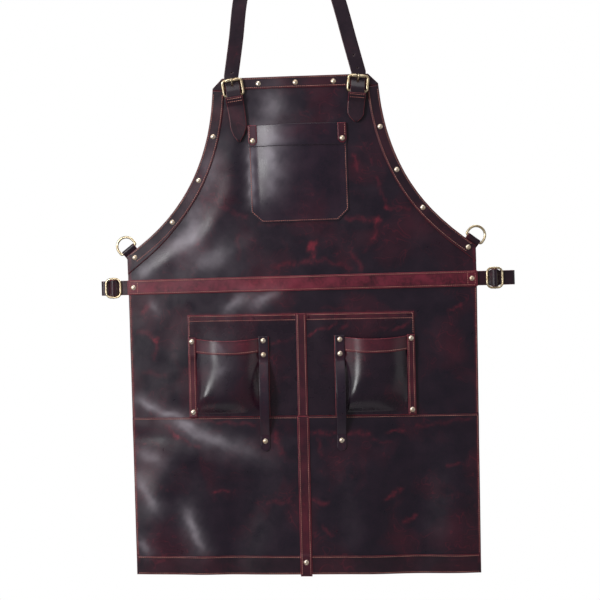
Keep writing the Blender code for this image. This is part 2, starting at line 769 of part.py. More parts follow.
def hammer_loops(finish, holes):
    top, seat, foot, tip = loop_heights()
    upper = cuffed(TAB_BACK, seat)

    def back(u, h):
        share = np.clip((h - foot) / (seat - foot), 0.0, 1.0)
        seated = TRIM_BACK + (TAB_BACK - TRIM_BACK) * share + share * on_lattice(gape, u, h)
        bulged = seated + LOOP_BULGE * np.sin(math.pi * share)
        return np.where(h >= seat, upper(u, h), bulged)

    for side, sign in (("left", -1), ("right", 1)):
        middle = SKIRT_SHIFT + sign * LOOP_SPREAD / 2
        half = LOOP_WIDTH / 2
        point = [(middle + half * math.cos(a), tip + half + half * math.sin(a))
                 for a in np.radians(np.linspace(180, 360, 7))]
        outline = point + [(middle + half, top), (middle - half, top)]
        creases = [[(middle - 2 * half, h), (middle + 2 * half, h)]
                   for h in np.linspace(foot, seat, 11)]
        creases += step_creases(middle - half, middle + half, seat)
        name = "hammer_loop_" + side
        leather(name, finish, outline, back, lambda u, h: back(u, h) + TRIM_LEATHER,
                holes[name], creases)


# Neck strap and buckles

BAR_HEIGHT = BODY_LEATHER + GAP + TRIM_LEATHER + 2 * GAP + BUCKLE_WIRE / 2
CHAPE_MIDDLE = BUCKLE_WIRE / 2 + GAP + TRIM_LEATHER / 2
BAR_OUT = TRIM_BACK + TRIM_LEATHER / 2 + 2 * GAP + CHAPE_MIDDLE
TAIL_OUT = TRIM_BACK + TRIM_LEATHER + GAP + STRAP_LEATHER / 2
LEAF_OUT = TAIL_OUT + STRAP_LEATHER / 2 + GAP + TRIM_LEATHER / 2
OVER_BAR = BAR_OUT + CHAPE_MIDDLE + TRIM_LEATHER / 2 + 1.5 * GAP + STRAP_LEATHER / 2
BEHIND_ROLLER = POCKET_BACK + 2 * GAP + STRAP_LEATHER / 2
ROLLER_OUT = BEHIND_ROLLER + STRAP_LEATHER / 2 + GAP + ROLLER_DIAMETER / 2
FRAME_REACH = BUCKLE_HEIGHT - BUCKLE_WIRE


def ease(share):
    share = np.clip(share, 0.0, 1.0)
    return 0.5 - 0.5 * np.cos(math.pi * share)


def strap_height(up):
    """Height of the strap's middle over the body, up from the buckle's lower bar."""
    lift = ease((up + 0.75 * FRAME_REACH) / (0.68 * FRAME_REACH))
    low = TAIL_OUT + (OVER_BAR - TAIL_OUT) * lift
    fall = ease((up - 0.1 * FRAME_REACH) / (0.75 * FRAME_REACH))
    return low + (BEHIND_ROLLER - OVER_BAR) * fall


def buckle_frame_at(buckle):
    u = buckle.sign * BUCKLE_SPREAD / 2
    turn = buckle.lean * buckle.sign
    return local_frame(u, APRON_HEIGHT - BUCKLE_DROP, turn)


def in_frame(frame, points):
    return [frame @ Vector(p) for p in points]


def strap_foot(buckle):
    """The strap's middle from its hidden end to just above the roller, in the buckle's frame."""
    start = -buckle.tab_length + buckle.point_length * 0.5 + 2 * STRAP_LEATHER
    ups = np.concatenate([[start], np.linspace(-0.8, 1.0, 19) * FRAME_REACH,
                          [1.25 * FRAME_REACH]])
    return [(0.0, up, float(strap_height(up))) for up in ups if up >= start]


def leg(buckle):
    """The strap's middle from the hidden end to the side of the hook, in the world."""
    foot = in_frame(buckle_frame_at(buckle), strap_foot(buckle))
    last = foot[-1]
    points = []
    for row in STRAP_POINTS:
        if row.side == buckle.side:
            x = row.across_share * BUCKLE_SPREAD / 2
            points.append(Vector((x, last.y * row.down_share, -row.down_share * NECK_DROP)))
    radius = PEG_DIAMETER / 2 + STRAP_LEATHER / 2
    middle = Vector((0.0, 0.0, -PEG_DIAMETER / 2))
    begin = math.radians(20)
    for angle in np.linspace(begin, math.pi / 2, 5)[:-1]:
        side = Vector((buckle.sign * math.cos(angle), 0.0, math.sin(angle)))
        points.append(middle + radius * side)
    return foot, points


def neck_strap(finish):
    parts = {buckle.side: leg(buckle) for buckle in BUCKLES}
    apex = [Vector((0.0, 0.0, STRAP_LEATHER / 2))]
    left_foot, left_leg = parts["left"]
    right_foot, right_leg = parts["right"]
    upper = smooth_path([left_foot[-1]] + left_leg + apex + right_leg[::-1] + [right_foot[-1]],
                        0.022)
    path = np.vstack([np.array([tuple(p) for p in left_foot[:-1]]), upper,
                      np.array([tuple(p) for p in right_foot[:-1]])[::-1]])
    outer = []
    for k, place in enumerate(path):
        buckle = BUCKLES[0] if k < len(left_foot) else BUCKLES[1]
        toward = np.array(buckle_frame_at(buckle).to_3x3().col[2])
        side_on = np.array((place[0], 0.0, place[2] + PEG_DIAMETER / 2))
        around = np.array((math.copysign(1.0, place[0]), 0.0, 0.0))
        if abs(place[2]) < PEG_DIAMETER:
            around = side_on / np.linalg.norm(side_on)
        share = float(ease((-place[2] / NECK_DROP - 0.12) / 0.66))
        outer.append(share * toward + (1 - share) * around)

    def outline(run):
        half, cut = STRAP_WIDTH / 2, STRAP_WIDTH / 5
        return [(-half + cut, 0.0), (half - cut, 0.0), (half, cut), (half, run[-1] - cut),
                (half - cut, run[-1]), (-half + cut, run[-1]), (-half, run[-1] - cut), (-half, cut)]

    def holes(run):
        rows = []
        left_bar = np.interp(0.0, [p[1] for p in strap_foot(BUCKLES[0])], run[:len(left_foot)])
        ends = [p[1] for p in strap_foot(BUCKLES[1])]
        right_bar = np.interp(0.0, ends, run[::-1][:len(right_foot)])
        for buckle, bar in ((BUCKLES[0], left_bar), (BUCKLES[1], right_bar)):
            way = -buckle.sign
            low, high = bar + way * 0.58 * FRAME_REACH, bar + way * 0.84 * FRAME_REACH
            rows.append(long_hole(min(low, high), max(low, high)))
            for k in range(1, buckle.free_holes + 1):
                middle = (low + high) / 2 + way * k * STRAP_HOLE_PITCH
                rows.append(ring_of((0.0, middle), STRAP_HOLE / 2))
        return rows

    strap("neck_strap", finish, path, np.array(outer), outline, STRAP_LEATHER, holes)


def long_hole(low, high):
    """A hole for the prong, longer than wide."""
    r = STRAP_HOLE / 2
    top = arc((0.0, high - r), r, 0, 180, 5)
    bottom = arc((0.0, low + r), r, 180, 360, 5)
    return top + bottom


def buckle_tab(buckle, finish):
    """The leather that holds the buckle: two leaves folded at the point, the back one bent
    round the buckle's bar. The end of the neck strap lies between the leaves."""
    turn = (LEAF_OUT - TRIM_BACK - TRIM_LEATHER / 2) / 2
    leaf_gap = STRAP_LEATHER / 2 + 1.7 * GAP + TRIM_LEATHER / 2
    point = -buckle.tab_length + turn
    ups = np.concatenate([np.linspace(-0.12, -0.85, 9) * FRAME_REACH, [point]])
    front = []
    for up in ups:
        slope = (strap_height(up + 1e-4) - strap_height(up - 1e-4)) / 2e-4
        size = math.hypot(1.0, slope)
        front.append((up - leaf_gap * slope / size, strap_height(up) + leaf_gap / size))
    front[-1] = (point, LEAF_OUT)
    middle = (LEAF_OUT + TRIM_BACK + TRIM_LEATHER / 2) / 2
    fold = [(point - turn * math.sin(a), middle + turn * math.cos(a))
            for a in np.radians((45, 90, 135))]
    low = TRIM_BACK + TRIM_LEATHER / 2
    back = [(point, low), (-0.5 * FRAME_REACH, low), (-0.15 * FRAME_REACH, low + 1.6 * GAP)]
    wrap = [(CHAPE_MIDDLE * math.sin(a), BAR_OUT - CHAPE_MIDDLE * math.cos(a))
            for a in np.radians(np.linspace(0, 170, 8))]
    section = front + fold + back + wrap
    path = np.array([(0.0, up, out) for up, out in section])
    along = tangents(path)
    outer = np.cross(along, np.array((-1.0, 0.0, 0.0)))
    front_count, back_start = len(front), len(front) + len(fold)

    def outline(run):
        tip = (run[front_count - 1] + run[back_start]) / 2
        wide, end, neck = TAB_WIDTH / 2, TAB_END_WIDTH / 2, STRAP_WIDTH / 2
        slope = buckle.point_length
        chape = run[back_start + 1]
        right = [(wide, 0.0), (end, tip - slope), (end / 4, tip), (end, tip + slope),
                 (wide, chape), (neck, run[back_start + 2]), (neck, run[-1])]
        return right + [(-u, h) for u, h in reversed(right)]

    def holes(run):
        start = run[back_start + 2]
        end = run[-1] - 0.25 * (run[-1] - start)
        slot = PRONG_WIRE / 2 + 2 * GAP
        return [band(-slot, slot, start, end)]

    made = strap("buckle_tab_" + buckle.side, finish, path, outer, outline, TRIM_LEATHER, holes)
    return made


def buckle_metal(buckle, finish):
    middle = (BUCKLE_WIDTH - BUCKLE_WIRE, BUCKLE_HEIGHT - BUCKLE_WIRE)
    raw = rounded_frame(middle[0], middle[1], BUCKLE_CORNER)
    rise = math.asin((ROLLER_OUT - BAR_OUT) / FRAME_REACH)
    end = middle[0] / 2 - BUCKLE_CORNER - 5 * GAP
    slit = PRONG_WIRE / 2 + 4 * GAP
    top = [(end, BUCKLE_WIRE), (end, ROLLER_DIAMETER), (slit, ROLLER_DIAMETER), (slit, BUCKLE_WIRE),
           (-slit, BUCKLE_WIRE), (-slit, ROLLER_DIAMETER), (-end, ROLLER_DIAMETER),
           (-end, BUCKLE_WIRE)]
    corner = len(raw) // 4
    nudge = GAP / 3
    points = raw[:corner]
    radii = [BUCKLE_WIRE / 2] * corner
    for k, (x, size) in enumerate(top):
        points = points + [(x + (nudge if k % 2 == 0 else -nudge), middle[1] / 2)]
        radii = radii + [size / 2]
    points = points + raw[corner:]
    radii = radii + [BUCKLE_WIRE / 2] * (len(raw) - corner)
    half = middle[1] / 2
    path = [(x, (y + half) * math.cos(rise), BAR_OUT + (y + half) * math.sin(rise))
            for x, y in points]
    normal = (0.0, -math.sin(rise), math.cos(rise))
    frame = tube("buckle_frame_" + buckle.side, finish, path, radii, normal, True)
    ring = PRONG_WIRE / 2 + BUCKLE_WIRE / 2 + GAP
    wrap = [(ring * math.sin(a), BAR_OUT + ring * math.cos(a))
            for a in np.radians(np.linspace(-50, -180, 6))]
    reach = FRAME_REACH
    over = ROLLER_OUT + ROLLER_DIAMETER / 2 + PRONG_WIRE / 2 + GAP
    behind = POCKET_BACK + PRONG_WIRE / 2 + GAP
    shaft = [(0.16 * reach, wrap[-1][1] + GAP), (0.34 * reach, behind),
             (0.52 * reach, behind + GAP), (0.64 * reach, behind + 4 * GAP),
             (0.74 * reach, (behind + over) / 2 - 3 * GAP), (0.83 * reach, over - 7 * GAP),
             (0.91 * reach, over - GAP), (reach, over + GAP), (1.1 * reach, over - GAP)]
    route = smooth_path([(0.0, up, out) for up, out in wrap + shaft], 0.0022)
    prong = tube("buckle_prong_" + buckle.side, finish, route, PRONG_WIRE / 2, (1.0, 0.0, 0.0),
                 False, 6)
    return frame, prong


def buckle_set(buckle, tab_finish, metal):
    hub = bpy.data.objects.new("buckle_place_" + buckle.side, None)
    bpy.context.scene.collection.objects.link(hub)
    hub.matrix_world = buckle_frame_at(buckle)
    tab = buckle_tab(buckle, tab_finish)
    for piece in (tab, *buckle_metal(buckle, metal)):
        piece.parent = hub


# Waist strap and sliders

STRAP_BEHIND = -GAP - STRAP_LEATHER / 2
RIM_OUT = STRAP_BEHIND + STRAP_LEATHER / 2 + GAP + SLIDER_WIRE / 2
OVER_SLIDER = RIM_OUT + SLIDER_BAR / 2 + GAP + STRAP_LEATHER / 2
FOLD_RADIUS = 0.0032


def strap_out(off_bar):
    """Height of the strap's middle near a slider, by the distance from the slider's bar."""
    reach = SLIDER_WIDTH / 2 - 1.5 * SLIDER_WIRE
    return STRAP_BEHIND + (OVER_SLIDER - STRAP_BEHIND) * (1 - ease(abs(off_bar) / reach))


def waist_strap_run(fold_back):
    """Stations of the strap from its riveted end out to the fold, as (u, t)."""
    bar = HALF_WAIST + SLIDER_OUT
    fold = HALF_WAIST + fold_back.reach - FOLD_RADIUS - STRAP_LEATHER / 2
    start = HALF_WAIST - STRAP_WIDTH
    reach = SLIDER_WIDTH / 2 - 1.5 * SLIDER_WIRE
    shares = np.linspace(-1, 1, 9)
    stations = [start, (start + HALF_WAIST) / 2, HALF_WAIST] + [bar + s * reach for s in shares]
    stations = [u for u in stations if u < fold - GAP] + [fold]
    run = [(u, float(strap_out(u - bar))) for u in stations]
    low = STRAP_BEHIND - 2 * FOLD_RADIUS
    centre = STRAP_BEHIND - FOLD_RADIUS
    run += [(fold + FOLD_RADIUS * math.sin(a), centre + FOLD_RADIUS * math.cos(a))
            for a in np.radians((30, 60, 90, 120, 150))]
    run += [(fold, low), (HALF_WAIST - STRAP_WIDTH / 2, low)]
    return run


def side_place(sign):
    """Straight continuation of the apron's side edge, out and back along its own slope."""
    return local_frame(sign * HALF_WAIST, WAIST, 0.0)


def waist_strap(finish):
    legs = []
    for fold_back in FOLD_BACKS:
        frame = side_place(fold_back.sign)
        rows = [((u - HALF_WAIST) * fold_back.sign, 0.0, t) for u, t in waist_strap_run(fold_back)]
        legs.append(in_frame(frame, rows))
    left, right = legs
    back_y = WAIST_STRAP_BACK
    shares = np.linspace(0, 1, 9)[1:-1]
    inner_left, inner_right = left[-1], right[-1]
    across = []
    for share in shares:
        place = inner_left.lerp(inner_right, float(share))
        place.y = back_y
        across.append(place)
    path = np.array([tuple(p) for p in left + across + right[::-1]])
    along = tangents(path)
    up = Vector(hang(HALF_WAIST, WAIST, 0.0) - hang(-HALF_WAIST, WAIST, 0.0))
    rise = np.array(Vector((-up.z, 0.0, up.x)).normalized())
    outer = np.cross(along, rise)

    def outline(run):
        half = STRAP_WIDTH / 2
        return band(-half, half, 0.0, run[-1])

    def holes(run):
        inset = STRAP_WIDTH - RIVET_EDGE
        return [ring_of((0.0, s), RIVET_HOLE / 2) for s in (inset, run[-1] - inset)]

    strap("waist_strap", finish, path, outer, outline, STRAP_LEATHER, holes)


RIVET_EDGE = 0.009          # rivets of the waistband, in from the side edge


def slider(side, sign, finish):
    frame = side_place(sign)
    middle = (SLIDER_WIDTH - SLIDER_WIRE, SLIDER_HEIGHT - SLIDER_WIRE)
    path = [(x, y, 0.0) for x, y in
            rounded_frame(middle[0], middle[1], SLIDER_CORNER - SLIDER_WIRE / 2, 5)]
    rim = tube("slider_" + side, finish, path, SLIDER_WIRE / 2, (0.0, 0.0, 1.0), True)
    reach = (SLIDER_HEIGHT - SLIDER_WIRE) / 2
    bar = tube("slider_bar_" + side, finish, [(0.0, -reach, 0.0), (0.0, reach, 0.0)],
               SLIDER_BAR / 2, (1.0, 0.0, 0.0), False, 6)
    bar.hide_render = True
    bar.display_type = "WIRE"
    place = frame @ Matrix.Translation((sign * SLIDER_OUT, 0.0, RIM_OUT))
    rim.matrix_world = place
    bar.matrix_world = place
    union = rim.modifiers.new("middle bar", "BOOLEAN")
    union.operation = "UNION"
    union.object = bar


# Rings at the armhole corners

LEAF_STEP = TRIM_LEATHER + GAP


def ring_frame(sign):
    """Frame on the armhole edge near its corner: X along the edge, Y out of the apron."""
    edge, inward = ring_seat()
    turn = math.atan2(-inward.x, -inward.y)
    return local_frame(sign * edge.x, edge.y, sign * turn)


def ring_seat():
    """Middle of the ring's loop on the armhole edge, and the direction into the leather."""
    corner = Vector(armhole_point(1.0))
    along = (Vector(armhole_point(ARMHOLE_SHARES[-2])) - corner).normalized()
    return corner + along * RING_ALONG, Vector((-along.y, along.x))


def ring_bar_out():
    """The bar lies behind the body, between the two leaves of its loop."""
    return -2 * GAP - TRIM_LEATHER - GAP / 2


def ring_loop(side, sign, finish):
    half = ring_wrap_radius()
    middle = ring_bar_out()
    near = -2 * GAP - TRIM_LEATHER / 2
    far = near - LEAF_STEP
    bar = RING_REACH
    wrap = [(bar + half * math.cos(a), middle + half * math.sin(a))
            for a in np.radians(np.linspace(115, -115, 9))]
    bend = RING_REACH / 12
    section = [(-RING_LOOP_LENGTH, near), (-RING_LOOP_LENGTH / 2, near), (bend, near)]
    section += wrap
    section += [(bend, far), (-RING_LOOP_LENGTH / 2, far), (-RING_LOOP_LENGTH, far)]
    path = np.array([(0.0, out, height) for out, height in section])
    outer = np.cross(tangents(path), np.array((1.0, 0.0, 0.0)))

    def outline(run):
        wide = RING_LOOP_WIDTH / 2
        return band(-wide, wide, 0.0, run[-1])

    def holes(run):
        inset = RING_LOOP_LENGTH - RING_RIVET
        return [ring_of((0.0, s), RIVET_HOLE / 2) for s in (inset, run[-1] - inset)]

    made = strap("ring_loop_" + side, finish, path, outer, outline, TRIM_LEATHER, holes)
    made.matrix_world = ring_frame(sign)


RING_RIVET = 0.0105         # rivet of a ring loop, in from the armhole edge


def ring_wrap_radius():
    """Radius of the middle of the leather round the ring's bar."""
    return RING_WIRE / 2 + RING_CLEARANCE + TRIM_LEATHER / 2


def d_ring(side, sign, finish):
    half = (RING_WIDTH - RING_WIRE) / 2
    corner = RING_CORNER
    top = RING_HEIGHT - RING_WIRE - half
    path = arc((-half + corner, corner), corner, 180, 270, 4)
    path += arc((half - corner, corner), corner, -90, 0, 4)
    path += arc((0.0, top), half, 0, 180, 13)
    made = tube("d_ring_" + side, finish, [(x, y, 0.0) for x, y in path], RING_WIRE / 2,
                (0.0, 0.0, 1.0), True)
    made.matrix_world = ring_frame(sign) @ Matrix.Translation((0.0, RING_REACH, ring_bar_out()))


# Rivets

Rivet = namedtuple("Rivet", "name u h front back nodes carried", defaults=(0.0,))


def rivet_rows():
    """Each rivet's place, the heights of the leather under its two heads, and what it holds."""
    rows = []
    trim_top = TRIM_BACK + TRIM_LEATHER
    behind = 0.0
    facing_h = APRON_HEIGHT - FACING_WIDTH / 2 - 0.001
    for k, share in enumerate((-0.446, 0.0, 0.46)):
        rows.append(Rivet(f"rivet_top_{k + 1}", share * HALF_BIB, facing_h, trim_top, behind,
                          ("bib_panel", "top_facing")))
    for side, sign in (("left", -1), ("right", 1)):
        facing = "armhole_facing_" + side
        for k, share in enumerate(ARMHOLE_RIVETS[side]):
            u, h = armhole_inset(share, FACING_WIDTH / 2)
            rows.append(Rivet(f"rivet_armhole_{side}_{k + 1}", sign * u, h, trim_top, behind,
                              ("bib_panel", facing)))
        edge, inward = ring_seat()
        u, h = edge + inward * RING_RIVET
        loop_back = -2 * GAP - TRIM_LEATHER - LEAF_STEP
        rows.append(Rivet("rivet_ring_" + side, sign * u, h, trim_top, loop_back,
                          ("bib_panel", facing)))
        strap_back = STRAP_BEHIND - STRAP_LEATHER / 2
        rows.append(Rivet("rivet_waist_" + side, sign * (HALF_WAIST - RIVET_EDGE), WAIST, trim_top,
                          strap_back, ("waistband", "bib_panel")))
        tab_u = CHEST_WIDTH / 2 - CHEST_TAB_WIDTH / 2
        tab_h = APRON_HEIGHT - CHEST_DROP - CHEST_TAB_LENGTH + CHEST_TAB_WIDTH / 2
        rows.append(Rivet("rivet_chest_" + side, sign * tab_u, tab_h,
                          trim_top + TRIM_LEATHER + TRIM_STEP, behind,
                          ("bib_panel", "chest_pocket", "chest_tab_" + side)))
        rows += tool_rivets(side, sign)
    rows.append(Rivet("rivet_hem", SKIRT_SHIFT, 0.66 * HEM_BAND_WIDTH, trim_top + TRIM_STEP, behind,
                      ("lower_panel", "hem_band", "centre_strip_lower")))
    return rows


def tool_rivets(side, sign):
    pocket_top = BOTTOM_LINE + SIDE_POCKET_HEIGHT
    tab_u = SKIRT_SHIFT + sign * (TOOL_WIDTH / 2 - POCKET_TAB_WIDTH / 2)
    loop_u = SKIRT_SHIFT + sign * LOOP_SPREAD / 2
    top, seat, foot, tip = loop_heights()
    tab_nodes = ("skirt_panel", "tool_panel", "side_pocket_" + side, "pocket_tab_" + side)
    loop_nodes = ("tool_panel", "side_pocket_" + side, "hammer_loop_" + side)
    tab_front = TAB_BACK + TRIM_LEATHER
    low_h = BOTTOM_LINE + RIVET_HEAD
    high_h = pocket_top - 0.75 * RIVET_HEAD
    second_h = seat + 2 * TRIM_LEATHER + 0.75 * RIVET_HEAD
    rows = [
        Rivet("rivet_tab_low_" + side, tab_u, low_h, lifted(tab_front, tab_u, low_h), 0.0,
              tab_nodes),
        Rivet("rivet_tab_high_" + side, tab_u, high_h,
              lifted(tab_front + TRIM_LEATHER, tab_u, high_h), 0.0, tab_nodes),
        Rivet("rivet_loop_high_" + side, loop_u, high_h,
              lifted(tab_front + TRIM_LEATHER, loop_u, high_h), lifted(TRIM_BACK, loop_u, high_h),
              loop_nodes, 1.0),
        Rivet("rivet_loop_second_" + side, loop_u, second_h,
              lifted(tab_front + TRIM_LEATHER, loop_u, second_h),
              lifted(TRIM_BACK, loop_u, second_h), loop_nodes, 1.0),
        Rivet("rivet_loop_low_" + side, loop_u, tip + 0.66 * LOOP_FOOT, TRIM_BACK + TRIM_LEATHER,
              0.0, ("lower_panel", "hammer_loop_" + side)),
    ]
    return rows


def lifted(height, u, h):
    return height + float(on_lattice(gape, np.array([u]), np.array([h]))[0])


def rivet_holes(rows):
    """Holes in each piece of the body, by the name of the piece."""
    holes = {name: [] for name in BODY_NODES}
    for row in rows:
        for node in row.nodes:
            holes[node].append(ring_of((row.u, row.h), RIVET_HOLE / 2))
    return holes


BODY_NODES = ("bib_panel", "skirt_panel", "lower_panel", "waistband", "hem_band", "top_facing",
              "armhole_facing_left", "armhole_facing_right", "centre_strip_upper",
              "centre_strip_lower", "chest_pocket", "chest_tab_left", "chest_tab_right",
              "tool_panel", "side_pocket_left", "side_pocket_right", "pocket_tab_left",
              "pocket_tab_right", "hammer_loop_left", "hammer_loop_right")


def rivet(row, finish):
    """A domed head, a shank and a flat cap behind, turned round one axis."""
    grip = row.front - row.back
    head, shank, cap = RIVET_HEAD / 2, RIVET_SHANK / 2, RIVET_CAP / 2
    low = -grip - GAP
    profile = [(0.0, GAP + RIVET_DOME), (0.62 * head, GAP + 0.78 * RIVET_DOME), (head, GAP),
               (shank, GAP), (shank, low), (cap, low), (0.0, low - RIVET_CAP_THICK)]
    angles = [2 * math.pi * k / RIVET_SIDES for k in range(RIVET_SIDES)]
    vertices = [(0.0, 0.0, profile[0][1]), (0.0, 0.0, profile[-1][1])]
    rings = []
    for radius, height in profile[1:-1]:
        rings.append(range(len(vertices), len(vertices) + RIVET_SIDES))
        vertices += [(radius * math.cos(a), radius * math.sin(a), height) for a in angles]
    triangles = []
    for i in range(RIVET_SIDES):
        j = (i + 1) % RIVET_SIDES
        triangles.append((0, rings[0][i], rings[0][j]))
        for upper, lower in zip(rings, rings[1:]):
            triangles += [(upper[i], lower[i], lower[j]), (upper[i], lower[j], upper[j])]
        triangles.append((1, rings[-1][j], rings[-1][i]))
    made = new_object(row.name, vertices, outward(vertices, triangles), finish, smooth=True)
    frame = local_frame(row.u, row.h, 0.0, row.carried)
    middle = (row.front + row.back) / 2
    frame.translation = Vector(hang(row.u, row.h, middle)) + (row.front - middle) * frame.col[2].xyz
    made.matrix_world = frame
    return made


def main():
    clear_scene()
    body_finish = material("dark pull-up leather", (0.030, 0.019, 0.026), 0.0, 0.45)
    red_finish = material("red pull-up leather", (0.110, 0.026, 0.036), 0.0, 0.48)
    strap_finish = material("strap leather", (0.034, 0.022, 0.029), 0.0, 0.50)
    brass = material("antique brass", (0.72, 0.60, 0.36), 1.0, 0.30)
    rows = rivet_rows()
    holes = rivet_holes(rows)
    body_panels(body_finish, holes)
    bands(body_finish, red_finish, holes)
    facings(body_finish, holes)
    centre_strips(body_finish, red_finish, holes)
    chest_pocket(body_finish, holes)
    chest_tabs(body_finish, holes)
    tool_panel(body_finish, holes)
    side_pockets(body_finish, holes)
    pocket_tabs(body_finish, holes)
    hammer_loops(body_finish, holes)
    neck_strap(strap_finish)
    for buckle in BUCKLES:
        buckle_set(buckle, strap_finish, brass)
    waist_strap(strap_finish)
    for side, sign in (("left", -1), ("right", 1)):
        slider(side, sign, brass)
        ring_loop(side, sign, strap_finish)
        d_ring(side, sign, brass)
    for row in rows:
        rivet(row, brass)


main()
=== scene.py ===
# %% [markdown]
# # A blacksmith's leather apron
# The real apron is cut from oiled pull-up leather, two millimetres thick, and sewn and riveted.
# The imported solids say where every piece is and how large. This lesson lays a finer surface over
# each of them: cut edges that round, folds, stitches, turned rivets and bent brass wire.

# %% Load the solids
from collections import namedtuple
from functools import partial
from math import pi, radians

import bpy
import numpy as np
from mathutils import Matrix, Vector


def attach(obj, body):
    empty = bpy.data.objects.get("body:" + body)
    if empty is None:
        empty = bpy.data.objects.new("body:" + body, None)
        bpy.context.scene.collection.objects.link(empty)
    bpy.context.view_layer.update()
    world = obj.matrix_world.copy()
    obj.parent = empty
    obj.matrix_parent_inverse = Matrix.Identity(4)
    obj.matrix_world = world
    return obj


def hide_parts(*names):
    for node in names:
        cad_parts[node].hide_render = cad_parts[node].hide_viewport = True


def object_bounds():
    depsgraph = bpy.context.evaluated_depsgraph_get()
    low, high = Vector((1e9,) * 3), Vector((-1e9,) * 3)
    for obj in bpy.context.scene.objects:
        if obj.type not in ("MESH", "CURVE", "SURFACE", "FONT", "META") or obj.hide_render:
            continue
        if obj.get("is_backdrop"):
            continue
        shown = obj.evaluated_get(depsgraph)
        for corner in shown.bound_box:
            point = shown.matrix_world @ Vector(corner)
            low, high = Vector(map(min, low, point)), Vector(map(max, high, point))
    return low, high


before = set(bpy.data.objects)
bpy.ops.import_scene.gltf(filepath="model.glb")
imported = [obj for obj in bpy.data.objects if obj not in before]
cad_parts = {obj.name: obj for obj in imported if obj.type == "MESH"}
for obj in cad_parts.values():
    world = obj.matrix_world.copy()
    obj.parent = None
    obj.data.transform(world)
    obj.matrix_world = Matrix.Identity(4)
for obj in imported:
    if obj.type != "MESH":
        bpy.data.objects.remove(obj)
cad_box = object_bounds()
APRON_BODY = "apron"
SIDES = (("left", -1), ("right", 1))

# %% [markdown]
# ## Sizes
# These are the sizes that the solids were made to, in metres. In the flat drawing u runs across
# from the centre line, h runs up from the hem, and t is the height above the back of the body
# leather, towards the viewer.

# %% Sizes of the apron
BODY_LEATHER, TRIM_LEATHER, STRAP_LEATHER, GAP = 0.0020, 0.0018, 0.0028, 0.0003
APRON_HEIGHT, HEM_WIDTH, WAIST_WIDTH, BIB_WIDTH = 0.860, 0.596, 0.604, 0.286
CORNER_CUT, WAIST_DROP, ARMPIT_RISE, SEAM_DROP, SEAM_LAP = 0.017, 0.357, 0.056, 0.230, 0.009
FACING_WIDTH, WAISTBAND_WIDTH, HEM_BAND_WIDTH = 0.020, 0.026, 0.032
SKIRT_SHIFT, UPPER_STRIP_WIDTH, LOWER_STRIP_WIDTH = -0.0045, 0.017, 0.020
NECK_DROP, BIB_OFFSET, SIDE_SET_BACK = 0.392, 0.0163, 0.014
BIB_LEAN, SKIRT_LEAN = radians(2.15), radians(1.3)
WAIST = APRON_HEIGHT - WAIST_DROP
JOINT = WAIST - WAISTBAND_WIDTH / 4
ARMPIT = WAIST + ARMPIT_RISE
SEAM = WAIST - SEAM_DROP
HALF_WAIST, HALF_BIB, HALF_HEM = WAIST_WIDTH / 2, BIB_WIDTH / 2, HEM_WIDTH / 2
BIB_CORNER = APRON_HEIGHT - CORNER_CUT
TRIM_BACK = BODY_LEATHER + GAP
TRIM_STEP = TRIM_LEATHER + GAP
POCKET_BACK = TRIM_BACK + TRIM_STEP
TAB_BACK = POCKET_BACK + TRIM_STEP
ARMHOLE_SHARES = (0.0, 0.14, 0.28, 0.42, 0.55, 0.67, 0.78, 0.89, 1.0)
ARMHOLE_OUT = (0.0, 0.024, 0.072, 0.150, 0.252, 0.382, 0.538, 0.742, 1.0)
TILT_SHARES = (0.0, 0.317, 0.52, 0.586, 0.70, 1.0)
TILT_DEGREES = (0.3, 0.73, 1.0, 1.6, 2.0, 2.0)

# %% [markdown]
# ## The hanging surface
# Leather this thick doesn't drape like cloth. It hangs nearly flat, its side edges curl back, and
# it keeps a few long, shallow folds from being rolled up. So the surface is a formula: a parabola
# across, and one smooth bump for each fold, which is easier to place than a simulated cloth.

# %% Folds of the leather
Fold = namedtuple("Fold", "u h length width turn depth")
FOLDS = [Fold(*row) for row in (
    (-0.199, 0.218, 0.098, 0.036, -22, 0.0090), (-0.260, 0.115, 0.093, 0.036, 84, 0.0070),
    (-0.187, 0.044, 0.071, 0.033, 98, 0.0060), (-0.115, 0.082, 0.098, 0.038, 78, -0.0060),
    (0.103, 0.076, 0.098, 0.038, 96, 0.0060), (0.187, 0.093, 0.109, 0.038, 88, -0.0070),
    (0.260, 0.098, 0.115, 0.036, 90, 0.0080), (-0.020, 0.800, 0.060, 0.024, 84, 0.0026),
    (0.075, 0.640, 0.120, 0.040, 80, -0.0020), (-0.115, 0.690, 0.080, 0.020, 84, 0.0020),
    (-0.150, 0.610, 0.050, 0.016, 62, 0.0022), (-0.185, 0.575, 0.060, 0.017, 35, 0.0024),
    (-0.240, 0.545, 0.035, 0.012, 32, 0.0016), (-0.110, 0.560, 0.050, 0.016, 30, 0.0016),
    (0.190, 0.580, 0.090, 0.030, 122, -0.0022), (-0.085, 0.478, 0.032, 0.010, 35, 0.0016),
    (-0.040, 0.482, 0.030, 0.009, 35, 0.0014), (-0.245, 0.380, 0.120, 0.030, 86, -0.0008),
    (0.250, 0.400, 0.120, 0.030, 93, 0.0022),
)]


def smooth_step(share):
    """Three times the square less twice the cube: 0 to 1 with a level start and end."""
    share = np.clip(share, 0, 1)
    return share * share * (3 - 2 * share)


def centre_x(h):
    """The centre line leans by one angle in the bib and by a smaller one in the skirt."""
    return (BIB_OFFSET + np.minimum(APRON_HEIGHT - h, WAIST_DROP) * np.tan(BIB_LEAN)
            + np.maximum(WAIST - h, 0) * np.tan(SKIRT_LEAN))


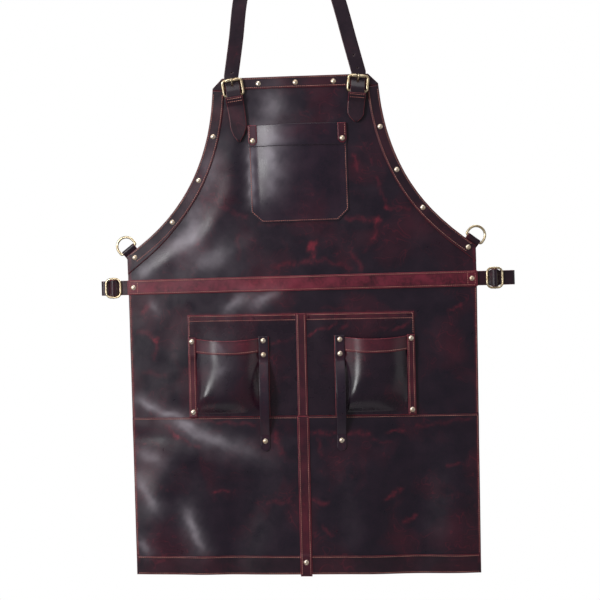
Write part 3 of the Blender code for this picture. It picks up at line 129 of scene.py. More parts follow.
def drape(u, h):
    """Depth of the body: a parabola across, less a bell-shaped ridge for each fold."""
    depth = SIDE_SET_BACK * (u / HALF_WAIST) ** 2
    below_seam = np.clip((SEAM + 0.014 - h) / 0.09, 0, 1)
    for fold in FOLDS:
        turn = radians(fold.turn)
        du, dh = u - fold.u, h - fold.h
        along = (du * np.cos(turn) + dh * np.sin(turn)) / fold.length
        across = (dh * np.cos(turn) - du * np.sin(turn)) / fold.width
        fade = below_seam if fold.h < SEAM else 1.0
        depth = depth - fade * fold.depth * np.exp(-along ** 2 - across ** 2)
    return depth


def hang(u, h, t):
    """Place in the world of the flat point (u, h) at the height t: the lines across tilt."""
    u, h, t = np.broadcast_arrays(np.asarray(u, float), np.asarray(h, float), t)
    tilt = np.tan(np.radians(np.interp(h / APRON_HEIGHT, TILT_SHARES, TILT_DEGREES)))
    return np.stack([centre_x(h) + u, drape(u, h) - t,
                     h - APRON_HEIGHT - NECK_DROP + u * tilt], axis=-1)


print("hem centre hangs at", hang(0.0, 0.0, 0.0).round(3))

# %% [markdown]
# ## Meshes from arrays
# Every new piece is a grid or a profile carried along a path, worked out as whole arrays. One
# function writes the arrays into a mesh and checks which way the closed surface faces, by the sign
# of its volume. The numbers that the finishes need later, such as the distance to the cut edge, are
# stored on the points as attributes.

# %% Write a mesh


def signed_volume(points, faces):
    """Six times the volume inside: the sum of triple products over each face's fan."""
    total = 0.0
    for group in faces:
        for k in range(1, group.shape[1] - 1):
            a, b, c = points[group[:, 0]], points[group[:, k]], points[group[:, k + 1]]
            total += np.einsum("ij,ij->", a, np.cross(b, c))
    return total


def add_object(name, data):
    """An object at the origin for a mesh, a lamp or a camera."""
    thing = bpy.data.objects.new(name, data)
    bpy.context.scene.collection.objects.link(thing)
    return thing


def make_piece(name, points, faces, finish, marks=None, flat=None, body=APRON_BODY, stands_for=()):
    """A mesh from arrays, with its faces turned outwards and its marks stored on the points."""
    points = np.asarray(points, float).reshape(-1, 3)
    if signed_volume(points, faces) < 0:
        faces = [group[:, ::-1] for group in faces]
    mesh = bpy.data.meshes.new(name)
    mesh.vertices.add(len(points))
    mesh.vertices.foreach_set("co", points.astype(np.float32).ravel())
    corners = np.concatenate([group.ravel() for group in faces])
    sizes = np.concatenate([np.full(len(group), group.shape[1]) for group in faces])
    mesh.loops.add(len(corners))
    mesh.loops.foreach_set("vertex_index", corners.astype(np.int32))
    mesh.polygons.add(len(sizes))
    mesh.polygons.foreach_set("loop_start", (np.cumsum(sizes) - sizes).astype(np.int32))
    mesh.update(calc_edges=True)
    mesh.shade_smooth()
    for label, values in (marks or {}).items():
        layer = mesh.attributes.new(label, "FLOAT", "POINT")
        layer.data.foreach_set("value", np.asarray(values, np.float32).ravel())
    if flat is not None:
        layer = mesh.uv_layers.new(name="flat")
        layer.uv.foreach_set("vector", np.asarray(flat, np.float32)[corners].ravel())
    mesh.materials.append(finish)
    piece = add_object(name, mesh)
    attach(piece, body)
    if stands_for:
        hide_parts(*stands_for)
    return piece


# %% [markdown]
# ## Brush strokes and creases
# Pull-up leather is waxed. Where it bends, the wax moves and the colour pulls up in a red streak.
# The grey strokes are painted highlights, laid where the folds catch the softbox's sheen. These
# marks belong to places on the apron, so they are kept as short strokes in the flat drawing and
# written on the points, and the finish reads them.

# %% Marks on the leather
Stroke = namedtuple("Stroke", "u0 h0 u1 h1 width strength")


def strokes_of(*rows):
    """Strokes in metres, from rows of two ends and a width in millimetres and a strength."""
    return [Stroke(*(value / 1000 for value in row[:5]), row[5]) for row in rows]


# Painted highlights: grey strokes laid where folds and pocket edges catch the softbox's sheen.
PAINTED_HIGHLIGHTS = strokes_of(
    (-44, 834, -42, 788, 17, 0.42), (-55, 772, -40, 744, 13, 0.68),
    (-52, 738, -44, 692, 10, 0.72), (-46, 686, -52, 650, 9, 0.34),
    (-82, 735, -82, 644, 4, 0.95), (-148, 738, -162, 669, 14, 0.35),
    (-177, 642, -192, 570, 10, 0.6), (-191, 594, -237, 564, 12, 0.6),
    (-285, 523, -262, 540, 10, 0.6), (-183, 538, -130, 561, 16, 0.45),
    (-134, 457, -104, 485, 7, 0.6), (-88, 467, -53, 487, 7, 0.7),
    (-264, 480, -254, 458, 6, 0.34), (-289, 305, -251, 282, 6, 0.75),
    (-251, 282, -215, 276, 4, 0.7), (-222, 268, -182, 241, 7, 1),
    (-190, 246, -127, 223, 8, 0.5), (-127, 223, -77, 207, 12, 0.25),
    (-292, 215, -250, 196, 10, 0.45), (-294, 169, -262, 112, 7, 0.6),
    (-210, 110, -184, 42, 7, 0.7), (-291, 61, -280, 38, 7, 0.5),
    (-142, 398, -152, 390, 12, 0.5), (-139, 363, -148, 346, 9, 0.3),
)
PULL = strokes_of(
    (-168, 659, -164, 617, 4.3, 0.6), (-182, 608, -180, 576, 4.3, 0.6),
    (-180, 573, -211, 560, 4.3, 0.5), (-158, 653, -95, 618, 6.9, 0.6),
    (-110, 588, -108, 549, 5.2, 0.6), (11, 559, 27, 571, 6, 1),
    (17, 571, 20, 549, 4.3, 0.9), (-48, 534, 37, 541, 6.9, 0.7),
    (-31, 578, -25, 561, 4.3, 0.5), (-73, 607, 51, 606, 5.2, 0.45),
    (95, 722, 103, 694, 5.2, 0.7), (135, 679, 149, 631, 5.2, 0.6),
    (149, 627, 188, 626, 4.3, 0.6), (82, 612, 134, 607, 6.9, 0.7),
    (134, 607, 126, 575, 5.2, 0.6), (126, 575, 108, 553, 5.2, 0.5),
    (89, 550, 103, 522, 6, 0.7), (48, 538, 86, 526, 5.2, 0.6),
    (-279, 458, -266, 472, 5.2, 0.8), (-283, 425, -254, 409, 6.9, 0.7),
    (-254, 409, -260, 374, 5.2, 0.6), (-277, 353, -238, 346, 6.9, 0.5),
    (-232, 391, -212, 352, 6.9, 0.35), (-238, 257, -226, 241, 5.2, 0.8),
    (-226, 241, -186, 220, 4.3, 0.7), (-202, 269, -90, 260, 4.3, 0.7),
    (-55, 246, -44, 211, 6, 0.7), (-158, 143, -137, 145, 3.5, 0.8),
    (-68, 125, -31, 125, 5.2, 0.6), (-184, 199, -162, 130, 8.6, 0.35),
    (-273, 96, -205, 52, 6.9, 0.3), (7, 413, 56, 433, 2.8, 0.85),
    (59, 419, 78, 432, 2.8, 0.7), (118, 416, 146, 426, 2.8, 0.6),
    (152, 416, 184, 434, 2.8, 0.75), (29, 459, 98, 458, 4.3, 0.5),
    (253, 453, 274, 458, 4.3, 0.8), (209, 418, 260, 380, 8.6, 0.35),
    (10, 244, 110, 242, 6, 0.7), (141, 244, 169, 247, 3.5, 0.8),
    (193, 252, 284, 266, 5.2, 0.6), (113, 230, 148, 225, 3.5, 0.6),
    (20, 231, 27, 206, 5.2, 0.6), (135, 127, 163, 146, 5.2, 0.8),
    (242, 186, 270, 187, 3.5, 0.7), (6, 128, 35, 121, 5.2, 0.7),
    (166, 89, 187, 99, 5.2, 0.8), (25, 80, 41, 66, 5.2, 0.6),
    (229, 160, 280, 126, 6.9, 0.35), (-59, 397, -17, 408, 2.8, 0.6),
)
WORN_EDGES = strokes_of(
    (-198, 449.5, 189, 449.5, 1.6, 0.9), (-198, 445, 189, 445, 5, 0.4),
    (299.5, 555, 296, 20, 2, 1), (-299.5, 555, -296, 20, 2, 1),
)


def painted(strokes, u, h, wobble=0.0, halo=0.0):
    """Strength of the nearest strokes: a bell over the distance to each stroke's line.

    With a halo, each stroke fades towards its ends and has a fainter bell 2.6 times as wide. Two
    pairs of sines shift the point by up to 1.5 wobbles first, so that no stroke is ruled.
    """
    u, h = (u + wobble * (np.sin(210 * h + 60 * u) + 0.5 * np.sin(520 * u - 310 * h)),
            h + wobble * (np.sin(190 * u - 75 * h) + 0.5 * np.sin(470 * h + 350 * u)))
    total = np.zeros_like(u)
    for stroke in strokes:
        run = np.array((stroke.u1 - stroke.u0, stroke.h1 - stroke.h0))
        share = ((u - stroke.u0) * run[0] + (h - stroke.h0) * run[1]) / (run @ run)
        share = np.clip(share, 0, 1)
        away = np.hypot(u - stroke.u0 - share * run[0], h - stroke.h0 - share * run[1])
        fade = 1 - (0.75 * (2 * share - 1) ** 2 if halo else 0)
        total = total + stroke.strength * fade * np.exp(-(away / stroke.width) ** 2)
        total = total + halo * stroke.strength * np.exp(-(away / (2.6 * stroke.width)) ** 2)
    return np.clip(total, 0, 1)


# %% [markdown]
# ## A cut piece of leather
# Panels, bands, pockets and straps are all one thing: a flat outline of leather, bent into place.
# The outline is a function of two shares, a across and b along, so one grid fits every piece.
# Grid lines crowd at the cut edges, where the grain side rounds over into the raw edge.

# %% One function for every piece of leather


def grid_shares(length, step):
    """Shares of a length: three lines close to each end and even steps between them."""
    close = np.array([0.0004, 0.0013, 0.0030])
    close = close[close < 0.35 * length]
    count = max(2, round((length - 2 * close[-1]) / step))
    middle = np.linspace(close[-1], length - close[-1], count + 1)
    return np.concatenate([close[:-1], middle, length - close[-2::-1]]) / length


def number_or_field(value, u, h):
    """A height is one number, or a function of the place in the flat drawing."""
    return value(u, h) if callable(value) else np.full_like(u, value)


def plus(height, more):
    """A height function raised by a number."""
    return lambda u, h: height(u, h) + more


EDGE_ROUND = 0.0005


def leather(name, finish, outline, back, thick=TRIM_LEATHER, step=0.004, place=hang, seated=True,
            stands_for=()):
    """The flesh side at the height back, the grain side above it, and a rim between them.

    The outline is shape and size: shape(a, b) gives the flat drawing. place(u, h, t) bends it, and
    the rim steps out from the grid's last line to the cut edge, so that it rounds over.
    """
    shape, size = outline
    steps = step if isinstance(step, tuple) else (step, step)
    a, b = grid_shares(size[0], steps[0]), grid_shares(size[1], steps[1])
    across, along = np.meshgrid(a, b)
    u, h = shape(across, along)
    rows, cols = u.shape
    index = np.arange(rows * cols).reshape(rows, cols)
    loop = np.concatenate([index[0, :-1], index[:-1, -1], index[-1, :0:-1], index[:0:-1, 0]])
    edge_a, edge_b = across.ravel()[loop], along.ravel()[loop]
    edge_a = np.where(edge_a == a[0], 0.0, np.where(edge_a == a[-1], 1.0, edge_a))
    edge_b = np.where(edge_b == b[0], 0.0, np.where(edge_b == b[-1], 1.0, edge_b))
    rim_u, rim_h = shape(edge_a, edge_b)
    low, rim_low = number_or_field(back, u, h), number_or_field(back, rim_u, rim_h)
    points = np.concatenate([
        place(u.ravel(), h.ravel(), (low + thick).ravel()),
        place(rim_u, rim_h, rim_low + thick - EDGE_ROUND),
        place(rim_u, rim_h, rim_low + EDGE_ROUND),
        place(u.ravel(), h.ravel(), low.ravel())])
    count, ring = rows * cols, len(loop)
    quads = np.stack([index[:-1, :-1], index[:-1, 1:], index[1:, 1:], index[1:, :-1]], axis=-1)
    quads = quads.reshape(-1, 4)
    rings = [loop, count + np.arange(ring), count + ring + np.arange(ring), count + 2 * ring + loop]
    faces = [quads, (quads + count + 2 * ring)[:, ::-1]]
    for upper, lower in zip(rings, rings[1:]):
        faces.append(np.stack([upper, lower, np.roll(lower, -1), np.roll(upper, -1)], axis=1))
    wide = np.hypot(*np.subtract(shape(np.ones_like(across), along), shape(0 * across, along)))
    tall = np.hypot(*np.subtract(shape(across, np.ones_like(along)), shape(across, 0 * along)))
    to_edge = np.minimum.reduce([across * wide, (1 - across) * wide,
                                 along * tall, (1 - along) * tall]).ravel()
    all_u = np.concatenate([u.ravel(), rim_u, rim_u, u.ravel()])
    all_h = np.concatenate([h.ravel(), rim_h, rim_h, h.ravel()])
    # painted highlights (grey strokes where the folds catch the light) and red pull-up marks, on
    # seated pieces only
    painted_highlight = pull = 0 * all_u
    if seated:
        painted_highlight = painted(PAINTED_HIGHLIGHTS, all_u, all_h, 0.0012, 0.32)
        pull = np.maximum(painted(PULL, all_u, all_h, 0.0018) ** 2.4,
                          painted(WORN_EDGES, all_u, all_h))
    side = np.concatenate([np.ones(count), np.full(ring, 0.7), np.full(ring, 0.3), np.zeros(count)])
    marks = {"to_edge": 1000 * np.concatenate([to_edge, np.zeros(2 * ring), to_edge]),
             "grain_side": side, "painted_highlight": painted_highlight, "pull": pull}
    return make_piece(name, points, faces, finish, marks, np.stack([all_u, all_h], axis=1),
                      stands_for=stands_for)


def span(u0, u1, h0, h1):
    """Outline of a plain rectangle, and its size."""
    return (lambda a, b: (u0 + a * (u1 - u0), h0 + b * (h1 - h0))), (abs(u1 - u0), abs(h1 - h0))


def between(half_width_at, h0, h1, middle=0.0, width=None):
    """Outline between two mirrored side edges, whose half width is a function of the height."""
    def shape(a, b):
        h = h0 + b * (h1 - h0)
        return middle + (2 * a - 1) * half_width_at(h), h
    return shape, (width or 2 * float(half_width_at(np.array((h0 + h1) / 2))), h1 - h0)


# %% [markdown]
# ## Finishes
# All colours are sRGB hex values, turned to the linear numbers that Blender's shaders use. One
# small function adds a node with its settings and links.

# %% Colour and node helpers


def linear(hex_colour):
    """sRGB hex to linear light, with the standard's curve."""
    value = np.array([int(hex_colour[k:k + 2], 16) / 255 for k in (1, 3, 5)])
    curve = np.where(value <= 0.04045, value / 12.92, ((value + 0.055) / 1.055) ** 2.4)
    return (*curve.tolist(), 1.0)


def add_node(tree, kind, settings=None, **links):
    """Add a node, set its properties, and link or set its inputs by name."""
    node = tree.nodes.new(kind)
    for label, value in (settings or {}).items():
        setattr(node, label, value)
    for label, value in links.items():
        socket = node.inputs[int(label[1:])] if label[1:].isdigit() else node.inputs[
            label.replace("_", " ")]
        if isinstance(value, bpy.types.NodeSocket):
            tree.links.new(value, socket)
        else:
            socket.default_value = value
    return node


def new_finish(name, **inputs):
    """A material, its node tree and its shader, with some of the shader's inputs set."""
    finish = bpy.data.materials.new(name)
    finish.use_nodes = True
    shader = finish.node_tree.nodes["Principled BSDF"]
    for label, value in inputs.items():
        shader.inputs[label].default_value = value
    return finish, finish.node_tree, shader


def add_ramp(tree, value, low, high, out_low=0.0, out_high=1.0):
    """A straight line from out_low at low to out_high at high, level outside."""
    return add_node(tree, "ShaderNodeMapRange", Value=value, From_Min=low, From_Max=high,
                    To_Min=out_low, To_Max=out_high).outputs["Result"]


def add_mix(tree, share, a, b):
    """Colour a and a share of the way to colour b."""
    return add_node(tree, "ShaderNodeMix", {"data_type": "RGBA"}, _0=share, _6=a, _7=b).outputs[2]


# %% [markdown]
# ** Pull-up leather** is full-grain hide, drum dyed and stuffed with hot wax. What shows is a very
# dark aubergine with a soft, broad shine, and red where the wax has been pushed away by a bend. The
# grey strokes are painted highlights: a light grey mixed into the colour where the folds catch the
# softbox, on top of the real sheen. Cut edges show the red dye. The flesh side is napped and dull.
# Its index of refraction is that of wax, about 1.45. Real grain is finer than a pixel here, so
# pebbles are drawn at 1.6 mm, as coarse as they need to be to show, and the hide's own mottle at 35
# mm.

# %% Pull-up leather


def pull_up_leather(name, dark, warm, red, highlight_grey, edge_colour, roughness=0.38, warmth=0.5):
    """Two tones of hide, then red, painted grey highlights and raw edges over them, by noises and
    painted marks.
    """
    finish, tree, shader = new_finish(name, IOR=1.45)
    place = add_node(tree, "ShaderNodeTexCoord").outputs["Object"]
    ramp, mix = partial(add_ramp, tree), partial(add_mix, tree)

    def noise(millimetres, detail, rough=0.5, stretch=(1, 1, 1), distortion=0.0):
        mapped = add_node(tree, "ShaderNodeMapping", Vector=place, Scale=stretch).outputs[0]
        return add_node(tree, "ShaderNodeTexNoise", Vector=mapped, Scale=1000 / millimetres,
                        Detail=detail, Roughness=rough, Distortion=distortion).outputs["Fac"]

    def mark(label):
        return add_node(tree, "ShaderNodeAttribute", {"attribute_name": label}).outputs["Fac"]

    def calculate(operation, a, b=0.0):
        return add_node(tree, "ShaderNodeMath", {"operation": operation}, _0=a, _1=b).outputs[0]

    def bump(height, distance, strength, **under):
        return add_node(tree, "ShaderNodeBump", Height=height, Distance=distance,
                        Strength=strength, **under).outputs[0]

    times = partial(calculate, "MULTIPLY")
    off_middle = calculate("SUBTRACT", noise(34, 2, 0.5, distortion=0.9), 0.5)
    ridges = ramp(calculate("ABSOLUTE", off_middle), 0.0, 0.012, 1.0, 0.0)

    mottle = noise(35, 4, 0.55)
    cloud = noise(90, 3, 0.5, distortion=0.4)
    scuff = noise(7, 5, 0.66, stretch=(1, 1, 0.7))
    pebble = noise(1.6, 2, 0.6)
    fine = noise(4.2, 3, 0.6)
    pull, painted_highlight, to_edge = mark("pull"), mark("painted_highlight"), mark("to_edge")
    side = mark("grain_side")
    colour = mix(ramp(mottle, 0.35, 0.70, 0.0, warmth), linear(dark), linear(warm))
    colour = mix(ramp(fine, 0.42, 0.70, 0.0, 0.55 * warmth), colour, linear(warm))
    blush = ramp(cloud, 0.48, 0.72, 0.0, 0.30 * warmth)
    vein = times(ridges, ramp(cloud, 0.46, 0.60, 0.0, 0.45 * warmth))
    smear = times(pull, ramp(scuff, 0.34, 0.64, 0.10, 0.70))
    for amount in (blush, vein, smear):
        colour = mix(amount, colour, linear(red))
    # painted highlight: a light grey mixed in along the highlight strokes, where folds catch the
    # light
    colour = mix(times(painted_highlight, ramp(mottle, 0.32, 0.66, 0.50, 0.85)), colour, linear(highlight_grey))
    burnish = ramp(to_edge, 1.0, 6.0, 0.45, 0.0)
    colour = mix(burnish, colour, linear(dark))
    raw = times(ramp(to_edge, 0.3, 1.1, 1.0, 0.0), ramp(scuff, 0.30, 0.55, 0.35, 1.0))
    colour = mix(raw, colour, linear(edge_colour))
    nap = mix(ramp(scuff, 0.3, 0.7), linear("#3a2a2c"), linear("#574044"))
    colour = mix(ramp(side, 0.25, 0.65), nap, colour)
    tree.links.new(colour, shader.inputs["Base Color"])
    shine = ramp(mottle, 0.3, 0.7, roughness - 0.06, roughness + 0.08)
    dull_flesh = ramp(side, 0.25, 0.65, 0.40, 0.0)
    tree.links.new(calculate("ADD", shine, dull_flesh), shader.inputs["Roughness"])
    swell = bump(noise(62, 1, 0.4), 0.0060, 0.35)
    wave = bump(noise(12, 3, 0.5), 0.0006, 0.20, Normal=swell)
    tree.links.new(bump(pebble, 0.00018, 0.35, Normal=wave), shader.inputs["Normal"])
    return finish


# The fourth colour of each finish is the grey of its painted highlights.
BODY_FINISH = pull_up_leather("waxed full-grain hide", "#1d1522", "#2f1b2c", "#8c2a3b", "#989099",
                              "#6d2530", roughness=0.33, warmth=0.42)
CHEST_FINISH = pull_up_leather("waxed hide, burnished edge", "#231a28", "#382132", "#7a2a3a",
                               "#8d8590", "#3b3039", roughness=0.32)
POUCH_FINISH = pull_up_leather("waxed hide, smooth", "#1f1622", "#321b2b", "#8c2d3d", "#8d8590",
                               "#8c3540", roughness=0.27, warmth=0.4)
BAND_FINISH = pull_up_leather("waxed hide, red face", "#360e1d", "#80263b", "#9c3546", "#8d7580",
                              "#9a3a46", roughness=0.46, warmth=0.95)
CUFF_FINISH = pull_up_leather("waxed hide, half red", "#321724", "#571c2c", "#852a3a", "#857b86",
                              "#9a3a46", roughness=0.34, warmth=0.8)
TRIM_FINISH = pull_up_leather("waxed hide, trim", "#1f151f", "#371b2a", "#7f2a3a", "#857b86",
                              "#7a2a33", roughness=0.34, warmth=0.6)
STRAP_FINISH = pull_up_leather("waxed strap butt", "#221822", "#35202d", "#6e2734", "#857b86",
                               "#5d2029", roughness=0.34)

# %% [markdown]
# **Antique brass** is plated zinc, tumbled so that the darkened plating wears off where hands
# touch it. It is pale gold with brown left in the hollows. The thread is waxed nylon, faded red.

# %% Brass and thread


def two_tone(name, bright, worn, patch, detail, low, high, spread=None, **inputs):
    """Two colours mixed by a noise with patches of the given millimetres, as wear does it."""
    finish, tree, shader = new_finish(name, **inputs)
    place = add_node(tree, "ShaderNodeTexCoord").outputs["Object"]
    wear = add_node(tree, "ShaderNodeTexNoise", Vector=place, Scale=1000 / patch,
                    Detail=detail).outputs["Fac"]
    colour = add_mix(tree, add_ramp(tree, wear, low, high), linear(bright), linear(worn))
    tree.links.new(colour, shader.inputs["Base Color"])
    if spread:
        rough = add_ramp(tree, wear, 0.3, 0.7, *spread)
        tree.links.new(rough, shader.inputs["Roughness"])
    return finish


BUCKLE_FINISH = two_tone("tumbled antique brass", "#f2e0bd", "#cdb287", 9, 2.0, 0.42, 0.70,
                         (0.28, 0.48), Metallic=1.0)
RIVET_FINISH = two_tone("polished brass rivets", "#f6e6d3", "#dec5a8", 9, 2.0, 0.42, 0.70,
                        (0.31, 0.51), Metallic=1.0)
THREAD_FINISH = two_tone("waxed thread", "#cf8d80", "#a8625c", 25, 3.0, 0.38, 0.62,
                         Roughness=0.6, IOR=1.53)
print("finishes:", [m.name for m in bpy.data.materials if m.users])

# %% [markdown]
# ## The body
# Three panels make the body. The bib narrows along the armholes, the skirt laps under the lower
# panel, and the lower panel rises over it at the seam.

# %% Outlines of the three panels


def armhole(share):
    """Right armhole edge: width against depth from the bib corner down, by a short table."""
    def out_at(share):
        return np.interp(share, ARMHOLE_SHARES, ARMHOLE_OUT)

    near = 0.05
    smooth = 0.25 * out_at(share - near) + 0.5 * out_at(share) + 0.25 * out_at(share + near)
    out = np.where((share > near) & (share < 1 - near), smooth, out_at(share))
    return HALF_BIB + (HALF_WAIST - HALF_BIB) * out, BIB_CORNER - share * (BIB_CORNER - ARMPIT)


def bib_half_width(h):
    """The armhole's width, and above the bib corner a cut at 45 degrees."""
    in_armhole = armhole(np.clip((BIB_CORNER - h) / (BIB_CORNER - ARMPIT), 0, 1))[0]
    return np.where(h > BIB_CORNER, HALF_BIB - (h - BIB_CORNER), in_armhole)


def skirt_half_width(h):
    """A straight line from the hem to the waist."""
    return HALF_HEM + (HALF_WAIST - HALF_HEM) * np.clip(h / WAIST, 0, 1)


LAP_RUN = 14 * BODY_LEATHER


def lap(u, h):
    """The lower panel rises over the end of the skirt panel, just below the seam."""
    top = SEAM - SEAM_LAP - 2 * GAP
    return (BODY_LEATHER + GAP) * smooth_step((h - top + LAP_RUN) / LAP_RUN)


BODY_STEP, BIB_GRID_WIDTH = 0.0026, 0.5
body = partial(leather, finish=BODY_FINISH, thick=BODY_LEATHER, step=BODY_STEP)
bib = body("bib", back=0.0, stands_for=["bib_panel"],
           outline=between(bib_half_width, JOINT + GAP, APRON_HEIGHT, width=BIB_GRID_WIDTH))
skirt = body("skirt", back=0.0, stands_for=["skirt_panel"],
             outline=between(skirt_half_width, SEAM - SEAM_LAP, JOINT - GAP))
lower = body("lower_skirt", back=lap, stands_for=["lower_panel"],
             outline=between(skirt_half_width, 0.0, SEAM))
print("body grids:", [len(p.data.polygons) for p in (bib, skirt, lower)])

# %% [markdown]
# ## Facings and bands
# Strips of thinner leather are sewn over the raw edges and over the joint of bib and skirt. A
# facing follows the armhole, so its outline is the edge, and the same edge moved inwards.

# %% Facings along the edges
FACING_LOW = APRON_HEIGHT - FACING_WIDTH
leather("top_edge_facing", TRIM_FINISH, between(bib_half_width, FACING_LOW, APRON_HEIGHT),
        TRIM_BACK, stands_for=["top_facing"])


def armhole_inset(share, inset):
    """A point on the armhole edge moved into the leather, at right angles to the edge."""
    ahead, behind = armhole(np.minimum(share + 0.02, 1)), armhole(np.maximum(share - 0.02, 0))
    run_u, run_h = ahead[0] - behind[0], ahead[1] - behind[1]
    length = np.hypot(run_u, run_h)
    u, h = armhole(share)
    return u + inset * run_h / length, h - inset * run_u / length


FACING_FLARE = {-1: 0.26, 1: 0.06}   # the strips were cut by hand: the left one ends wider
FACING_START = (BIB_CORNER - FACING_LOW + 2 * GAP) / (BIB_CORNER - ARMPIT)
FACING_LENGTH, END_SLOPE = 0.34, -0.80


def facing_outline(sign):
    """a runs out of the apron for the right side, b runs up; the corner is cut by the side edge."""
    def shape(a, b):
        share = 1 - b * (1 - FACING_START)
        wider = FACING_FLARE[sign] * smooth_step((share - 0.70) / 0.30)
        u, h = armhole_inset(share, FACING_WIDTH * (1 - a) * (1 + wider))
        run = (HALF_WAIST - u) * np.clip((share - 0.93) / 0.07, 0, 1)
        return sign * (u + run), h + END_SLOPE * run
    return shape


for side, sign in SIDES:
    leather("armhole_edge_" + side, TRIM_FINISH,
            (facing_outline(sign), (FACING_WIDTH, FACING_LENGTH)), TRIM_BACK,
            stands_for=["armhole_facing_" + side])

# %% Bands across
OVERHANG = 0.0012
leather("waist_band", BAND_FINISH,
        span(-HALF_WAIST - OVERHANG, HALF_WAIST + OVERHANG, WAIST - WAISTBAND_WIDTH / 2,
             WAIST + WAISTBAND_WIDTH / 2), TRIM_BACK, stands_for=["waistband"])
leather("hem_strip", TRIM_FINISH, span(-HALF_HEM, HALF_HEM, 0.0, HEM_BAND_WIDTH), TRIM_BACK,
        stands_for=["hem_band"])

# %% [markdown]
# ## The tool panel and its pockets
# The tool panel stands a little off the skirt along its top edge, so there is a flat pocket on each
# side of the centre strip. Each side pocket is a wider piece pushed into a bulge. Its bulge is the
# product of a flat-topped arch across and a steep rise from the bottom seam. Towards the bottom
# the arch leans to one side, as the photographed pouches do.

# %% Sizes of the pockets
TOOL_WIDTH, TOOL_HEIGHT, TOOL_GAPE = 0.391, 0.177, 0.0026
SIDE_POCKET_WIDTH, SIDE_POCKET_HEIGHT, SIDE_POCKET_CUFF = 0.139, 0.138, 0.024
SIDE_POCKET_DIP, SIDE_POCKET_BULGE, POCKET_TAB_WIDTH = 0.0065, 0.021, 0.013
LOOP_WIDTH, LOOP_SPREAD, LOOP_LENGTH, LOOP_BULGE, LOOP_FOOT = 0.0158, 0.132, 0.199, 0.022, 0.027
BOTTOM_LINE = SEAM + 1.5 * GAP
TOOL_TOP = SEAM + GAP + TOOL_HEIGHT
POCKET_TOP = BOTTOM_LINE + SIDE_POCKET_HEIGHT
RELEASE = 0.0455


def gape(u, h):
    """Stand-off of the tool panel: it grows with height and ends smoothly at the seams."""
    off_centre = np.abs(u - SKIRT_SHIFT)
    rise = smooth_step((off_centre - UPPER_STRIP_WIDTH / 2) / (0.8 * RELEASE))
    fall = smooth_step((TOOL_WIDTH / 2 - POCKET_TAB_WIDTH - off_centre) / RELEASE)
    return TOOL_GAPE * rise * fall * np.clip((h - SEAM) / TOOL_HEIGHT, 0, None)


def over_tool(height):
    """A height above the tool panel's stand-off."""
    return lambda u, h: height + gape(u, h)


def centred(width, h0, h1):
    """Rectangle of a width about the skirt's centre line."""
    return span(SKIRT_SHIFT - width / 2, SKIRT_SHIFT + width / 2, h0, h1)


# %% Tool panel and centre strips
leather("tool_front", POUCH_FINISH, centred(TOOL_WIDTH, BOTTOM_LINE, TOOL_TOP),
        over_tool(TRIM_BACK), stands_for=["tool_panel"])
leather("middle_strip_top", CUFF_FINISH, centred(UPPER_STRIP_WIDTH, BOTTOM_LINE, TOOL_TOP),
        over_tool(POCKET_BACK), stands_for=["centre_strip_upper"])
STRIP_TAIL, HEM_STEP = 0.003, 0.003


def strip_height(u, h):
    """The lower strip lies over the hem band, on the panel, and over the lap of the seam."""
    over_hem = TRIM_STEP * (1 - smooth_step((h - HEM_BAND_WIDTH - GAP) / HEM_STEP))
    return TRIM_BACK + over_hem + lap(u, h)


leather("middle_strip_low", CUFF_FINISH, centred(LOWER_STRIP_WIDTH, -STRIP_TAIL, SEAM),
        strip_height, step=(0.004, 0.002), stands_for=["centre_strip_lower"])

# %% Side pockets
POUCH_STEP, CUFF_LIFT, CUFF_LEATHER, CUFF_RISE, SEAM_MARGIN = 0.0022, 0.0003, 0.0015, 0.0002, 0.006


def arch(share, power=2.4):
    """Nothing at both ends and flat in the middle: one less a power of the way off centre."""
    return 1 - np.abs(2 * np.clip(share, 0, 1) - 1) ** power


def side_pocket(side, sign):
    """A pocket and its cuff: an arch across times a rise from the bottom, and a little crush."""
    outer = SKIRT_SHIFT + sign * TOOL_WIDTH / 2
    low_u, high_u = sorted((outer, outer - sign * SIDE_POCKET_WIDTH))
    inner_margin = (LOOP_SPREAD + LOOP_WIDTH) / 2 + GAP - (TOOL_WIDTH / 2 - SIDE_POCKET_WIDTH)
    margins = (POCKET_TAB_WIDTH, inner_margin)[::-sign]
    start, end = low_u + margins[0], high_u - margins[1]
    low_h = BOTTOM_LINE + SEAM_MARGIN

    def top_at(a):
        return POCKET_TOP - SIDE_POCKET_DIP * (1 - (2 * a - 1) ** 2)

    def shape(a, b):
        return low_u + a * (high_u - low_u), BOTTOM_LINE + b * (top_at(a) - BOTTOM_LINE)

    def stand(u, h):
        share = np.clip((u - start) / (end - start), 0, 1)
        height = (h - low_h) / SIDE_POCKET_HEIGHT
        share = share ** (0.42 + 0.58 * smooth_step(height / 0.62))
        rise = 1 - (1 - np.clip(height / 0.27, 0, 1)) ** 2.4
        rise = rise * (1 - 0.15 * smooth_step((height - 0.4) / 0.6))
        crush = 1 + 0.04 * np.sin(70 * h + 40 * u) * np.clip((POCKET_TOP - h) / 0.05, 0, 1)
        return POCKET_BACK + gape(u, h) + SIDE_POCKET_BULGE * arch(share, 3.0) * rise * crush

    def cuff_shape(a, b):
        return low_u + a * (high_u - low_u), top_at(a) - SIDE_POCKET_CUFF * (1 - b) + CUFF_RISE

    leather("side_pouch_" + side, POUCH_FINISH, (shape, (SIDE_POCKET_WIDTH, SIDE_POCKET_HEIGHT)),
            stand, step=POUCH_STEP, stands_for=["side_pocket_" + side])
    leather("side_pouch_cuff_" + side, CUFF_FINISH,
            (cuff_shape, (SIDE_POCKET_WIDTH, SIDE_POCKET_CUFF)),
            plus(stand, TRIM_LEATHER + CUFF_LIFT), CUFF_LEATHER, POUCH_STEP)
    return stand, top_at, low_u, high_u


